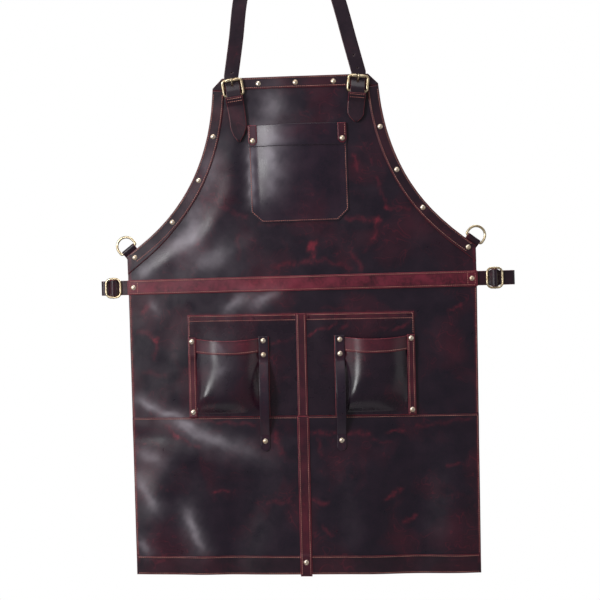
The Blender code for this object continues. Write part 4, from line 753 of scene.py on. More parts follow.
side_pocket_facts = {side: side_pocket(side, sign) for side, sign in SIDES}


# %% Tabs along the side pockets, and the hammer loops
CUFF_CLIMB = 6 * TRIM_LEATHER


def over_cuff(height, step_at):
    """A height over the pocket's margin that rises from step_at to pass over the folded cuff."""
    return lambda u, h: (height + gape(u, h)
                         + TRIM_LEATHER * smooth_step((h - step_at) / CUFF_CLIMB))


LOOP_TOP = POCKET_TOP + 2 * GAP
LOOP_TIP = LOOP_TOP - LOOP_LENGTH
SEAT, FOOT = LOOP_TOP - SIDE_POCKET_CUFF - 0.018, LOOP_TIP + LOOP_FOOT


def loop_back(u, h):
    """Flat at its two seats and bowed out between them, by a half wave of a sine."""
    share = np.clip((h - FOOT) / (SEAT - FOOT), 0, 1)
    seat = TRIM_BACK + (TAB_BACK - TRIM_BACK) * share + share * gape(u, h)
    return np.where(h >= SEAT, over_cuff(TAB_BACK, SEAT)(u, h),
                    seat + LOOP_BULGE * np.sin(pi * share))


def loop_half_width(h):
    """Half the loop's width, with a half circle at its tip."""
    half = LOOP_WIDTH / 2
    return np.sqrt(np.clip(half ** 2 - np.clip(LOOP_TIP + half - h, 0, half * 0.995) ** 2, 0, None))


tab_back = over_cuff(TAB_BACK, POCKET_TOP - SIDE_POCKET_CUFF - SIDE_POCKET_DIP - CUFF_CLIMB)
for side, sign in SIDES:
    edge = SKIRT_SHIFT + sign * TOOL_WIDTH / 2
    ends = sorted((edge, edge - sign * POCKET_TAB_WIDTH))
    leather("pouch_tab_" + side, CUFF_FINISH, span(*ends, BOTTOM_LINE, POCKET_TOP), tab_back,
            step=(0.003, 0.002), stands_for=["pocket_tab_" + side])
    middle = SKIRT_SHIFT + sign * LOOP_SPREAD / 2
    leather("tool_loop_" + side, CHEST_FINISH,
            between(loop_half_width, LOOP_TIP, LOOP_TOP, middle, LOOP_WIDTH), loop_back,
            step=(0.002, 0.002), seated=False, stands_for=["hammer_loop_" + side])

# %% [markdown]
# ## The chest pocket
# A plain patch pocket. Its top is folded over to the front as a deep cuff, and two small tabs are
# riveted over the cuff's ends.

# %% Chest pocket
CHEST_WIDTH, CHEST_HEIGHT, CHEST_DROP, CHEST_CORNER = 0.169, 0.168, 0.083, 0.018
CHEST_CUFF, CHEST_BULGE, CHEST_TAB_WIDTH, CHEST_TAB_LENGTH = 0.037, 0.009, 0.0145, 0.034
CHEST_TOP = APRON_HEIGHT - CHEST_DROP
CHEST_LOW = CHEST_TOP - CHEST_HEIGHT


def chest_half_width(h):
    """Half the pocket's width, with its two lower corners cut at 45 degrees."""
    return CHEST_WIDTH / 2 - np.clip(CHEST_LOW + CHEST_CORNER - h, 0, None)


def chest_stand(u, h):
    """An arch across, times a parabola that rises from the bottom to the middle."""
    inner = CHEST_WIDTH / 2 - CHEST_TAB_WIDTH
    rise = 1 - (1 - np.clip((h - CHEST_LOW - 0.01) / (CHEST_HEIGHT / 2), 0, 1)) ** 2
    return TRIM_BACK + CHEST_BULGE * arch((u + inner) / (2 * inner)) * rise


CHEST_STEP, CHEST_CUFF_LEATHER = 0.003, 0.0016
leather("chest_pouch", CHEST_FINISH,
        between(chest_half_width, CHEST_LOW, CHEST_TOP, width=CHEST_WIDTH), chest_stand,
        step=CHEST_STEP, stands_for=["chest_pocket"])
leather("chest_pouch_cuff", CHEST_FINISH,
        span(-CHEST_WIDTH / 2, CHEST_WIDTH / 2, CHEST_TOP - CHEST_CUFF, CHEST_TOP + CUFF_RISE),
        plus(chest_stand, TRIM_LEATHER + CUFF_LIFT), CHEST_CUFF_LEATHER, CHEST_STEP)
TAB_LOW = CHEST_TOP - CHEST_TAB_LENGTH


def chest_tab_half_width(h):
    """Half the tab's width, with both lower corners slanted."""
    slant = CHEST_TAB_WIDTH / 3
    return CHEST_TAB_WIDTH / 2 - np.clip(TAB_LOW + slant - h, 0, None) * 0.9


for side, sign in SIDES:
    middle = sign * (CHEST_WIDTH - CHEST_TAB_WIDTH) / 2
    leather("chest_corner_tab_" + side, CUFF_FINISH,
            between(chest_tab_half_width, TAB_LOW, CHEST_TOP, middle, CHEST_TAB_WIDTH),
            TRIM_BACK + 2 * TRIM_LEATHER + GAP, step=0.0025, stands_for=["chest_tab_" + side])

# %% [markdown]
# ## Straps
# A strap is the same cut piece, laid along a path. At each station of the path it needs to know
# which way its grain side faces, because the neck strap makes a quarter turn in each leg.

# %% Paths and frames


def unit(v):
    """Each vector divided by its length."""
    return v / np.linalg.norm(v, axis=-1, keepdims=True)


def smooth_path(points, step):
    """Catmull-Rom curve through a few points, with a station about every step."""
    points = np.asarray(points, float)
    ends = np.vstack([2 * points[0] - points[1], points, 2 * points[-1] - points[-2]])
    out = []
    for a, b, c, d in zip(ends, ends[1:], ends[2:], ends[3:]):
        s = np.arange(max(1, round(np.linalg.norm(c - b) / step)))[:, None]
        s = s / len(s)
        out.append(0.5 * (2 * b + (c - a) * s + (2 * a - 5 * b + 4 * c - d) * s ** 2
                          + (3 * b - a - 3 * c + d) * s ** 3))
    return np.vstack(out + [points[-1:]])


def along_path(path, outer):
    """Place on a strap: u across, h along its middle line, t out from it, read off the stations."""
    tangent = unit(np.gradient(path, axis=0))
    side = unit(np.cross(tangent, outer))
    normal = np.cross(side, tangent)
    run = np.concatenate([[0], np.cumsum(np.linalg.norm(np.diff(path, axis=0), axis=1))])

    def read(table, h):
        return np.stack([np.interp(h, run, table[:, k]) for k in range(3)], axis=-1)

    def place(u, h, t):
        u, h, t = np.broadcast_arrays(u, h, t)
        return read(path, h) + u[..., None] * read(side, h) + t[..., None] * read(normal, h)

    return place, run


def local_frame(u, h, turn=0.0):
    """Frame on the body: X across, Y up the apron turned by turn, Z towards the viewer."""
    step = 0.003
    base = hang(u, h, 0.0)
    across = unit(hang(u + step, h, 0.0) - hang(u - step, h, 0.0))
    up = unit(hang(u, h + step, 0.0) - hang(u, h - step, 0.0))
    out = unit(np.cross(across, up))
    up = np.cross(out, across)
    return base, np.stack([across * np.cos(turn) - up * np.sin(turn),
                           up * np.cos(turn) + across * np.sin(turn), out])


def in_frame(place, points):
    """Points given in a local frame, in the world."""
    base, axes = place
    return base + np.asarray(points, float) @ axes


# %% Sizes of the straps and buckles
STRAP_WIDTH, PEG_DIAMETER, STRAP_HOLE, STRAP_HOLE_PITCH = 0.025, 0.024, 0.0040, 0.0235
BUCKLE_SPREAD, BUCKLE_DROP, BUCKLE_WIDTH, BUCKLE_HEIGHT = 0.212, 0.030, 0.038, 0.031
BUCKLE_CORNER, BUCKLE_WIRE, ROLLER_DIAMETER, PRONG_WIRE = 0.0045, 0.0046, 0.0060, 0.0020
TAB_WIDTH, TAB_END_WIDTH = 0.030, 0.028
Buckle = namedtuple("Buckle", "side sign lean tab_length point_length free_holes")
BUCKLES = (Buckle("left", -1, radians(7.2), 0.080, 0.026, 1),
           Buckle("right", 1, radians(6.5), 0.052, 0.014, 2))
STRAP_POINTS = {"left": ((-0.806, 0.840), (-0.735, 0.664), (-0.560, 0.440), (-0.300, 0.200)),
                "right": ((1.040, 0.840), (0.860, 0.664), (0.590, 0.440), (0.300, 0.200))}
CHAPE_MIDDLE = BUCKLE_WIRE / 2 + GAP + TRIM_LEATHER / 2
BAR_OUT = TRIM_BACK + TRIM_LEATHER / 2 + 2 * GAP + CHAPE_MIDDLE
TAIL_OUT = TRIM_BACK + TRIM_LEATHER + GAP + STRAP_LEATHER / 2
LEAF_OUT = TAIL_OUT + STRAP_LEATHER / 2 + GAP + TRIM_LEATHER / 2
OVER_BAR = BAR_OUT + CHAPE_MIDDLE + TRIM_LEATHER / 2 + 1.5 * GAP + STRAP_LEATHER / 2
BEHIND_ROLLER = POCKET_BACK + 2 * GAP + STRAP_LEATHER / 2
ROLLER_OUT = BEHIND_ROLLER + STRAP_LEATHER / 2 + GAP + ROLLER_DIAMETER / 2
REACH = BUCKLE_HEIGHT - BUCKLE_WIRE


def ease(share):
    """Half a wave of a cosine, from 0 to 1."""
    return 0.5 - 0.5 * np.cos(pi * np.clip(share, 0, 1))


def strap_height(up):
    """The strap rises from between the tab's leaves, over the bar, and down behind the roller."""
    low = TAIL_OUT + (OVER_BAR - TAIL_OUT) * ease((up + 0.75 * REACH) / (0.68 * REACH))
    return low + (BEHIND_ROLLER - OVER_BAR) * ease((up - 0.1 * REACH) / (0.75 * REACH))


def buckle_place(buckle):
    """The frame at the middle of the buckle's bar, turned by its lean."""
    return local_frame(buckle.sign * BUCKLE_SPREAD / 2, APRON_HEIGHT - BUCKLE_DROP,
                       buckle.lean * buckle.sign)


# %% Neck strap
def strap_foot(buckle):
    """Stations of the strap's end through its buckle, in the buckle's frame."""
    start = -buckle.tab_length + buckle.point_length / 2 + 2 * STRAP_LEATHER
    ups = np.arange(start, 1.25 * REACH, 0.0015)
    return np.stack([0 * ups, ups, strap_height(ups)], axis=1)


def strap_leg(buckle):
    """The rest of a leg up to the side of the hook: a few points, then an arc over the hook."""
    foot = in_frame(buckle_place(buckle), strap_foot(buckle))
    rows = np.array(STRAP_POINTS[buckle.side])
    points = np.stack([rows[:, 0] * BUCKLE_SPREAD / 2, foot[-1, 1] * rows[:, 1],
                       -rows[:, 1] * NECK_DROP], axis=1)
    radius = (PEG_DIAMETER + STRAP_LEATHER) / 2
    angle = np.linspace(radians(20), pi / 2, 6)[:-1]
    over = np.stack([buckle.sign * radius * np.cos(angle), 0 * angle,
                     radius * np.sin(angle) - PEG_DIAMETER / 2], axis=1)
    return foot, np.vstack([points, over])


(left_foot, left_leg), (right_foot, right_leg) = (strap_leg(buckle) for buckle in BUCKLES)
upper = smooth_path(np.vstack([left_foot[-1:], left_leg, [(0, 0, STRAP_LEATHER / 2)],
                               right_leg[::-1], right_foot[-1:]]), 0.003)
path = np.vstack([left_foot[:-1], upper, right_foot[-2::-1]])
toward = np.where((np.arange(len(path)) < len(left_foot))[:, None],
                  buckle_place(BUCKLES[0])[1][2], buckle_place(BUCKLES[1])[1][2])
around = np.stack([np.sign(path[:, 0]), 0 * path[:, 0], 0 * path[:, 0]], axis=1)
round_hook = unit(path + np.array((0, 0, PEG_DIAMETER / 2)) + 1e-9) * (1, 0, 1)
near_hook = smooth_step((path[:, 2:] + 2 * PEG_DIAMETER) / PEG_DIAMETER)
around = unit(around * (1 - near_hook) + round_hook * near_hook)
turned = ease((-path[:, 2:] / NECK_DROP - 0.12) / 0.66)
neck_place, neck_run = along_path(path, turned * toward + (1 - turned) * around)


def strip_of(width, length):
    """Outline of a straight strip, and its size."""
    return (lambda a, b: ((a - 0.5) * width, b * length)), (width, length)


def strap(name, finish, outline, thick, place, step, solid):
    """A strip of leather whose middle lies on the path of its place."""
    return leather(name, finish, outline, -thick / 2, thick, step, place, seated=False,
                   stands_for=[solid])


neck = strap("neck_belt", STRAP_FINISH, strip_of(STRAP_WIDTH, neck_run[-1]), STRAP_LEATHER,
             neck_place, (0.003, 0.0025), "neck_strap")
print("neck strap runs", round(float(neck_run[-1]), 3), "m")

# %% [markdown]
# ## Holes
# The strap's holes are cut with a Boolean: a short cylinder for each hole is taken away from the
# strap, and the result is written back into the mesh. The hole with the prong in it goes through.
# The free ones are blind, because an unused hole in oiled leather closes up behind.

# %% Punch the strap
HOLE_SIDES, HOLE_TOP, THROUGH, CLOSED_AT = 20, 0.004, -0.004, -0.0008
PRONG_AT, PULLED_LONG = 0.71 * REACH, 1.7


def punch(piece, place, holes, radius):
    """Cut holes at s on the middle line, each with a closed cylinder from the height deep up."""
    angle = np.arange(HOLE_SIDES) * 2 * pi / HOLE_SIDES
    points, faces = [], []
    for s, stretch, deep in holes:
        rim_u, rim_s = radius * np.cos(angle), s + radius * stretch * np.sin(angle)
        k = 2 * HOLE_SIDES * len(points) + np.arange(HOLE_SIDES)
        points.append(np.vstack([place(rim_u, rim_s, np.full(HOLE_SIDES, t))
                                 for t in (deep, HOLE_TOP)]))
        faces += [tuple(k[::-1]), tuple(k + HOLE_SIDES)]
        faces += [(a, b, b + HOLE_SIDES, a + HOLE_SIDES) for a, b in zip(k, np.roll(k, -1))]
    mesh = bpy.data.meshes.new("cutter")
    mesh.from_pydata(np.vstack(points).tolist(), [], [tuple(int(i) for i in f) for f in faces])
    cutter = add_object("cutter", mesh)
    cut = piece.modifiers.new("holes", "BOOLEAN")
    cut.object = cutter
    graph = bpy.context.evaluated_depsgraph_get()
    made = bpy.data.meshes.new_from_object(piece.evaluated_get(graph))
    piece.modifiers.remove(cut)
    piece.data = made
    bpy.data.objects.remove(cutter)
    return len(made.polygons)


holes = []
for buckle, foot_end, way in ((BUCKLES[0], 0.0, 1), (BUCKLES[1], neck_run[-1], -1)):
    foot = strap_foot(buckle)
    to_bar = np.linalg.norm(np.diff(foot[foot[:, 1] <= 0], axis=0), axis=1).sum()
    bar = foot_end + way * to_bar
    holes.append((bar + way * PRONG_AT, PULLED_LONG, THROUGH))
    holes += [(bar + way * (PRONG_AT + (k + 1) * STRAP_HOLE_PITCH), 1.0, CLOSED_AT)
              for k in range(buckle.free_holes)]
print("strap faces after punching:", punch(neck, neck_place, holes, 0.65 * STRAP_HOLE / 2))

# %% [markdown]
# ## Buckle tabs
# Each tab is one piece of leather folded at its point. The end of the neck strap is sewn between
# its two leaves, and the back leaf wraps the buckle's bar.

# %% Buckle tabs
TIP_PULLED = {"left": 0.004, "right": -0.002}  # the cut point isn't quite in the middle


def buckle_tab(buckle):
    """The tab's middle line: over the strap, round the point, back under it, and round the bar."""
    turn = (LEAF_OUT - TRIM_BACK - TRIM_LEATHER / 2) / 2
    leaf_gap = STRAP_LEATHER / 2 + 1.7 * GAP + TRIM_LEATHER / 2
    point = -buckle.tab_length + turn
    ups = np.arange(-0.12 * REACH, point, -0.0015)
    slope = (strap_height(ups + 1e-4) - strap_height(ups - 1e-4)) / 2e-4
    long_side = np.hypot(1, slope)
    front = np.stack([ups - leaf_gap * slope / long_side,
                      strap_height(ups) + leaf_gap / long_side], axis=1)
    front[:, 1] -= 0.7 * GAP * ease((-0.75 * REACH - ups) / (0.4 * REACH))
    middle = (LEAF_OUT + TRIM_BACK + TRIM_LEATHER / 2) / 2
    angle = np.linspace(0, pi, 9)
    fold = np.stack([point - turn * np.sin(angle), middle + turn * np.cos(angle)], axis=1)
    low = TRIM_BACK + TRIM_LEATHER / 2
    back_ups = np.arange(point + 0.001, -0.15 * REACH, 0.002)
    lift = 1.6 * GAP * ease((back_ups + 0.5 * REACH) / (0.35 * REACH))
    back = np.stack([back_ups, low + lift], axis=1)
    angle = np.radians(np.linspace(0, 170, 20))
    wrap = np.stack([CHAPE_MIDDLE * np.sin(angle), BAR_OUT - CHAPE_MIDDLE * np.cos(angle)], axis=1)
    section = np.vstack([front, fold, back, wrap])
    base = buckle_place(buckle)
    path = in_frame(base, np.column_stack([np.zeros(len(section)), section]))
    place, run = along_path(path, np.cross(unit(np.gradient(path, axis=0)), base[1][0]))
    tip = run[len(front) + 4]
    chape = run[len(front) + len(fold) + len(back) - 4]
    stations = (0, tip - buckle.point_length, tip - buckle.point_length / 2, tip,
                tip + buckle.point_length / 2, tip + buckle.point_length, chape - 0.01, chape,
                run[-1])
    end = TAB_END_WIDTH / 2
    widths = (TAB_WIDTH / 2, end, 0.68 * end, 0.08 * end, 0.68 * end, end, TAB_WIDTH / 2,
              STRAP_WIDTH / 2, STRAP_WIDTH / 2)
    pulled = TIP_PULLED[buckle.side]

    def shape(a, b):
        s = b * run[-1]
        to_tip = np.clip(1 - np.abs(s - tip) / (1.6 * buckle.point_length), 0, 1)
        return (2 * a - 1) * np.interp(s, stations, widths) + pulled * to_tip ** 1.5, s

    strap("buckle_leaf_" + buckle.side, TRIM_FINISH, (shape, (TAB_WIDTH, run[-1])), TRIM_LEATHER,
          place, (0.003, 0.0012), "buckle_tab_" + buckle.side)
    return place


tab_places = {buckle.side: buckle_tab(buckle) for buckle in BUCKLES}

# %% [markdown]
# ## Bent wire
# Buckle frames, prongs, rings and sliders are bent from round wire. A circle is carried along a
# path that lies in one plane, with the radius given at each station, so a roller is only a stretch
# where the wire is thicker.

# %% Wire and its paths


def tube_faces(rows, sides, start=0, closed=False):
    """Quads between rings of points that follow each other, and two caps if it is open."""
    index = start + np.arange(rows * sides).reshape(rows, sides)
    caps = [] if closed else [index[:1, ::-1], index[-1:]]
    if closed:
        index = np.vstack([index, index[:1]])
    turn = np.roll(index, -1, axis=1)
    quads = np.stack([index[:-1], turn[:-1], turn[1:], index[1:]], axis=-1).reshape(-1, 4)
    return [quads, *caps]


def wire(name, place, path, radius, closed, body=APRON_BODY, sides=16, stands_for=()):
    """Rings of points around each station, square to the path's mitred direction."""
    path = np.asarray(path, float)
    ahead = np.roll(path, -1, axis=0) - path
    if not closed:
        ahead[-1] = ahead[-2]
    ahead = unit(ahead)
    behind = np.roll(ahead, 1, axis=0)
    if not closed:
        behind[0] = ahead[0]
    tangent = unit(ahead + behind)
    flat = np.cross(path[1] - path[0], path[len(path) // 2] - path[0])
    flat = unit(flat) if np.linalg.norm(flat) > 1e-12 else np.array((0.0, 0.0, 1.0))
    angle = np.arange(sides) * 2 * pi / sides
    radius = np.broadcast_to(radius, len(path))[:, None, None]
    inward = np.cross(flat, tangent)
    rings = path[:, None] + radius * (np.cos(angle)[None, :, None] * inward[:, None]
                                      + np.sin(angle)[None, :, None] * flat)
    return make_piece(name, in_frame(place, rings.reshape(-1, 3)),
                      tube_faces(len(path), sides, closed=closed), BUCKLE_FINISH, body=body,
                      stands_for=stands_for)


def arc(centre, radius, start, end, count):
    """Stations on an arc, from one angle in degrees to another."""
    angle = np.radians(np.linspace(start, end, count))
    return np.stack([centre[0] + radius * np.cos(angle), centre[1] + radius * np.sin(angle)],
                    axis=1)


def rounded_frame(width, height, corner, count=9):
    """A closed rectangle with a quarter circle at each corner."""
    x, y = width / 2 - corner, height / 2 - corner
    corners = ((x, y), (-x, y), (-x, -y), (x, -y))
    return np.vstack([arc(corners[k], corner, 90 * k, 90 * k + 90, count) for k in range(4)])


# %% Buckles
for buckle in BUCKLES:
    width, height = BUCKLE_WIDTH - BUCKLE_WIRE, REACH
    rise = np.arcsin((ROLLER_OUT - BAR_OUT) / REACH)
    raw = rounded_frame(width, height, BUCKLE_CORNER) + (0, height / 2)
    path = np.column_stack([raw[:, 0], raw[:, 1] * np.cos(rise),
                            BAR_OUT + raw[:, 1] * np.sin(rise)])
    wire("buckle_ring_" + buckle.side, buckle_place(buckle), path, BUCKLE_WIRE / 2, True,
         stands_for=["buckle_frame_" + buckle.side])
    slit, end = PRONG_WIRE / 2 + 3 * GAP, width / 2 - BUCKLE_CORNER - 3 * GAP
    for k, way in enumerate((-1, 1)):
        x = way * np.array([slit, slit + 0.0001, slit + 0.0007, end - 0.0007, end - 0.0001, end])
        size = ROLLER_DIAMETER / 2 * np.array([0.8, 0.9, 1, 1, 0.9, 0.8])
        roller = np.column_stack([x, np.full(6, height * np.cos(rise)), np.full(6, ROLLER_OUT)])
        wire(f"buckle_roller_{buckle.side}_{k}", buckle_place(buckle), roller, size, False)
    ring = PRONG_WIRE / 2 + BUCKLE_WIRE / 2 + GAP
    angle = np.radians(np.linspace(-50, -180, 10))
    wrap = np.stack([ring * np.sin(angle), BAR_OUT + ring * np.cos(angle)], axis=1)
    over = ROLLER_OUT + ROLLER_DIAMETER / 2 + PRONG_WIRE / 2 + GAP
    behind = POCKET_BACK + PRONG_WIRE / 2 + GAP
    shaft = [(0.16 * REACH, wrap[-1, 1] + GAP), (0.34 * REACH, behind),
             (0.52 * REACH, behind + GAP), (0.64 * REACH, behind + 4 * GAP),
             (0.74 * REACH, (behind + over) / 2 - 3 * GAP), (0.83 * REACH, over - 7 * GAP),
             (0.91 * REACH, over - GAP), (REACH, over + GAP), (1.1 * REACH, over - GAP)]
    route = smooth_path(np.column_stack([np.zeros(len(wrap) + 9), np.vstack([wrap, shaft])]), 0.001)
    taper = 1.25 * np.clip((1.16 * REACH - route[:, 1]) / (0.12 * REACH), 0.5, 1)
    wire("buckle_tongue_" + buckle.side, buckle_place(buckle), route, PRONG_WIRE / 2 * taper,
         False, sides=12, stands_for=["buckle_prong_" + buckle.side])

# %% [markdown]
# ## The waist strap and its sliders
# The strap starts behind each side edge, passes over the slider's middle bar, folds back on itself,
# and crosses behind the apron.

# %% Waist strap
SLIDER_OUT, SLIDER_WIDTH, SLIDER_HEIGHT, SLIDER_CORNER = 0.0290, 0.0304, 0.0375, 0.0105
SLIDER_WIRE, SLIDER_BAR, FOLD_RADIUS, WAIST_STRAP_BACK = 0.0037, 0.0028, 0.0032, 0.0225
SLIDER_SHIFT = 0.0024                # both hang a little to the right
SLIDER_SCALE = {"left": 0.95, "right": 1.01}
SLIDER_SWELL = (0.0017, 0.0027)      # the strap spreads over each bar, left and right
FOLD_BACKS = (("left", -1, 0.0485), ("right", 1, 0.0680))
STRAP_BEHIND = -GAP - STRAP_LEATHER / 2
RIM_OUT = STRAP_BEHIND + STRAP_LEATHER / 2 + GAP + SLIDER_WIRE / 2
OVER_SLIDER = RIM_OUT + SLIDER_BAR / 2 + GAP + STRAP_LEATHER / 2
slider_reach = SLIDER_WIDTH / 2 - 1.5 * SLIDER_WIRE
ends = []
for side, sign, reach in FOLD_BACKS:
    fold = reach - FOLD_RADIUS - STRAP_LEATHER / 2
    out = np.append(np.arange(-STRAP_WIDTH, fold, 0.0012), fold)
    over = 1 - ease(np.abs(out - SLIDER_OUT - sign * SLIDER_SHIFT) / slider_reach)
    height = STRAP_BEHIND + (OVER_SLIDER - STRAP_BEHIND) * over
    angle = np.linspace(0, pi, 11)[1:]
    bend = np.stack([fold + FOLD_RADIUS * np.sin(angle),
                     STRAP_BEHIND - FOLD_RADIUS + FOLD_RADIUS * np.cos(angle)], axis=1)
    home = np.arange(fold, -STRAP_WIDTH / 2, -0.004)[1:]
    rows = np.vstack([np.stack([out, height], axis=1), bend,
                      np.stack([home, np.full(len(home), STRAP_BEHIND - 2 * FOLD_RADIUS)], axis=1)])
    points = np.column_stack([sign * rows[:, 0], np.zeros(len(rows)), rows[:, 1]])
    ends.append(in_frame(local_frame(sign * HALF_WAIST, WAIST), points))
share = np.linspace(0, 1, 60)[1:-1, None]
across = ends[0][-1] * (1 - share) + ends[1][-1] * share
bow = smooth_step(np.minimum(share, 1 - share) / 0.12)[:, 0]
across[:, 1] = across[:, 1] * (1 - bow) + WAIST_STRAP_BACK * bow
path = np.vstack([ends[0], across, ends[1][::-1]])
level = unit(hang(HALF_WAIST, WAIST, 0.0) - hang(-HALF_WAIST, WAIST, 0.0))
rise = np.array((-level[2], 0, level[0]))
waist_place, waist_run = along_path(path, np.cross(rise, unit(np.gradient(path, axis=0))))
CLIMB = 0.0020                       # the extra way up to the top of a slider's bar
at_slider = [STRAP_WIDTH + SLIDER_OUT - SLIDER_SHIFT + CLIMB,
             waist_run[-1] - STRAP_WIDTH - SLIDER_OUT - SLIDER_SHIFT - CLIMB]


def waist_shape(a, b):
    """A strip that is a little wider where each slider presses it over its bar."""
    s = b * waist_run[-1]
    bump = sum(swell * np.exp(-((s - middle) / 0.0093) ** 4)
               for swell, middle in zip(SLIDER_SWELL, at_slider))
    return (2 * a - 1) * (STRAP_WIDTH / 2 + bump), s


strap("waist_belt", TRIM_FINISH, (waist_shape, (STRAP_WIDTH, waist_run[-1])), STRAP_LEATHER,
      waist_place, (0.003, 0.0012), "waist_strap")
for side, sign in SIDES:
    place = local_frame(sign * HALF_WAIST, WAIST)
    scale = SLIDER_SCALE[side]
    rim = rounded_frame(scale * SLIDER_WIDTH - SLIDER_WIRE, scale * SLIDER_HEIGHT - SLIDER_WIRE,
                        SLIDER_CORNER - SLIDER_WIRE / 2)
    out = sign * SLIDER_OUT + SLIDER_SHIFT
    path = np.column_stack([rim[:, 0] + out, rim[:, 1], np.full(len(rim), RIM_OUT)])
    wire("belt_slider_" + side, place, path, SLIDER_WIRE / 2, True, stands_for=["slider_" + side])
    y = np.linspace(-1, 1, 9) * (scale * SLIDER_HEIGHT / 2 + 0.0004)
    bar = np.column_stack([np.full(9, out), y, np.full(9, RIM_OUT)])
    wire("belt_slider_bar_" + side, place, bar, SLIDER_BAR / 2, False)

# %% [markdown]
# ## D-rings
# A ring hangs in a folded loop of leather behind each armhole corner. It turns about its straight
# bar, so it rides on a body of its own.

# %% D-rings and their loops
RING_WIDTH, RING_HEIGHT, RING_CORNER, RING_WIRE = 0.0358, 0.0278, 0.0034, 0.0044
RING_REACH, RING_LOOP_WIDTH, RING_LOOP_LENGTH, RING_ALONG = 0.0075, 0.0252, 0.024, 0.0090
RING_RIVET, RING_CLEARANCE = 0.0105, 0.0003
BAR_BEHIND = -2 * GAP - TRIM_LEATHER - GAP / 2
corner = np.array((HALF_WAIST, ARMPIT))
next_point = np.array((HALF_BIB + (HALF_WAIST - HALF_BIB) * ARMHOLE_OUT[-2],
                       BIB_CORNER - ARMHOLE_SHARES[-2] * (BIB_CORNER - ARMPIT)))
edge_way = unit(next_point - corner)
ring_seat = corner + edge_way * RING_ALONG
ring_inward = np.array((-edge_way[1], edge_way[0]))


def ring_place(sign):
    """The frame at a ring's seat, turned so that Y points out across the armhole edge."""
    turn = np.arctan2(-ring_inward[0], -ring_inward[1])
    return local_frame(sign * ring_seat[0], ring_seat[1], sign * turn)


for side, sign in SIDES:
    wrap = arc((RING_REACH, BAR_BEHIND), RING_WIRE / 2 + RING_CLEARANCE + TRIM_LEATHER / 2,
               115, -115, 24)
    near = -2 * GAP - TRIM_LEATHER / 2
    far = near - TRIM_STEP
    flat_run = np.linspace(-RING_LOOP_LENGTH, RING_REACH / 12, 10)
    section = np.vstack([np.stack([flat_run, np.full(10, near)], axis=1), wrap,
                         np.stack([flat_run[::-1], np.full(10, far)], axis=1)])
    path = in_frame(ring_place(sign), np.column_stack([np.zeros(len(section)), section]))
    axes = ring_place(sign)[1]
    place, run = along_path(path, np.cross(axes[0], unit(np.gradient(path, axis=0))))
    strap("ring_tab_" + side, TRIM_FINISH, strip_of(RING_LOOP_WIDTH, run[-1]), TRIM_LEATHER,
          place, (0.003, 0.0008), "ring_loop_" + side)
    half = (RING_WIDTH - RING_WIRE) / 2
    bow_height = RING_HEIGHT - RING_WIRE - half
    ring = np.vstack([arc((-half + RING_CORNER, RING_CORNER), RING_CORNER, 180, 270, 8),
                      arc((half - RING_CORNER, RING_CORNER), RING_CORNER, -90, 0, 8),
                      arc((0.0, bow_height), half, 0, 180, 40)])
    path = np.column_stack([ring[:, 0], ring[:, 1] + RING_REACH, np.full(len(ring), BAR_BEHIND)])
    wire("dee_" + side, ring_place(sign), path, RING_WIRE / 2, True, body=side + "_ring",
         stands_for=["d_ring_" + side])

# %% [markdown]
# ## Rivets
# Each rivet is turned: a profile carried round its axis. The head is a low dome with a rolled rim,
# pressed into the leather, and a flat cap closes it at the back.

# %% Rivets
RIVET_HEAD, RIVET_DOME, RIVET_CAP, RIVET_SIDES = 0.0089, 0.0022, 0.0072, 20
ARMHOLE_RIVETS = {-1: (0.281, 0.537, 0.777), 1: (0.256, 0.513, 0.741)}
TRIM_TOP = TRIM_BACK + TRIM_LEATHER
rivets = [(share * HALF_BIB, APRON_HEIGHT - FACING_WIDTH / 2 - 0.001, TRIM_TOP, 0.0)
          for share in (-0.446, 0.0, 0.46)]
for sign in (-1, 1):
    for share in ARMHOLE_RIVETS[sign]:
        u, h = armhole_inset(np.array(share), FACING_WIDTH / 2)
        rivets.append((sign * float(u), float(h), TRIM_TOP, 0.0))
    u, h = ring_seat + ring_inward * RING_RIVET
    rivets.append((sign * u, h, TRIM_TOP, -2 * GAP - TRIM_LEATHER - TRIM_STEP))
    rivets.append((sign * (HALF_WAIST - 0.009), WAIST, TRIM_TOP, STRAP_BEHIND - STRAP_LEATHER / 2))
    rivets.append((sign * (CHEST_WIDTH - CHEST_TAB_WIDTH) / 2, TAB_LOW + CHEST_TAB_WIDTH / 2,
                   TRIM_TOP + TRIM_LEATHER + TRIM_STEP, 0.0))
    tab_u = SKIRT_SHIFT + sign * (TOOL_WIDTH - POCKET_TAB_WIDTH) / 2
    loop_u = SKIRT_SHIFT + sign * LOOP_SPREAD / 2
    tab_front = TAB_BACK + TRIM_LEATHER
    high_h = POCKET_TOP - 0.75 * RIVET_HEAD
    second_h = SEAT + 2 * TRIM_LEATHER + 0.75 * RIVET_HEAD
    low_h = BOTTOM_LINE + RIVET_HEAD
    for u, h, front, back in ((tab_u, low_h, tab_front, None),
                              (tab_u, high_h, tab_front + TRIM_LEATHER, None),
                              (loop_u, high_h, tab_front + TRIM_LEATHER, TRIM_BACK),
                              (loop_u, second_h, tab_front + TRIM_LEATHER, TRIM_BACK)):
        lift = float(gape(u, h))
        rivets.append((u, h, front + lift, 0.0 if back is None else back + lift))
    rivets.append((loop_u, LOOP_TIP + 0.66 * LOOP_FOOT, TRIM_TOP, 0.0))
rivets.append((SKIRT_SHIFT, 0.66 * HEM_BAND_WIDTH, TRIM_TOP + TRIM_STEP, 0.0))
rivets = np.array(rivets)
dome = np.array([(1.0, 0.0), (1.02, 0.10), (0.98, 0.24), (0.86, 0.44), (0.70, 0.66), (0.50, 0.84),
                 (0.26, 0.96), (0.02, 1.0)])
head = np.column_stack([dome[:, 0] * RIVET_HEAD / 2, dome[:, 1] * RIVET_DOME])
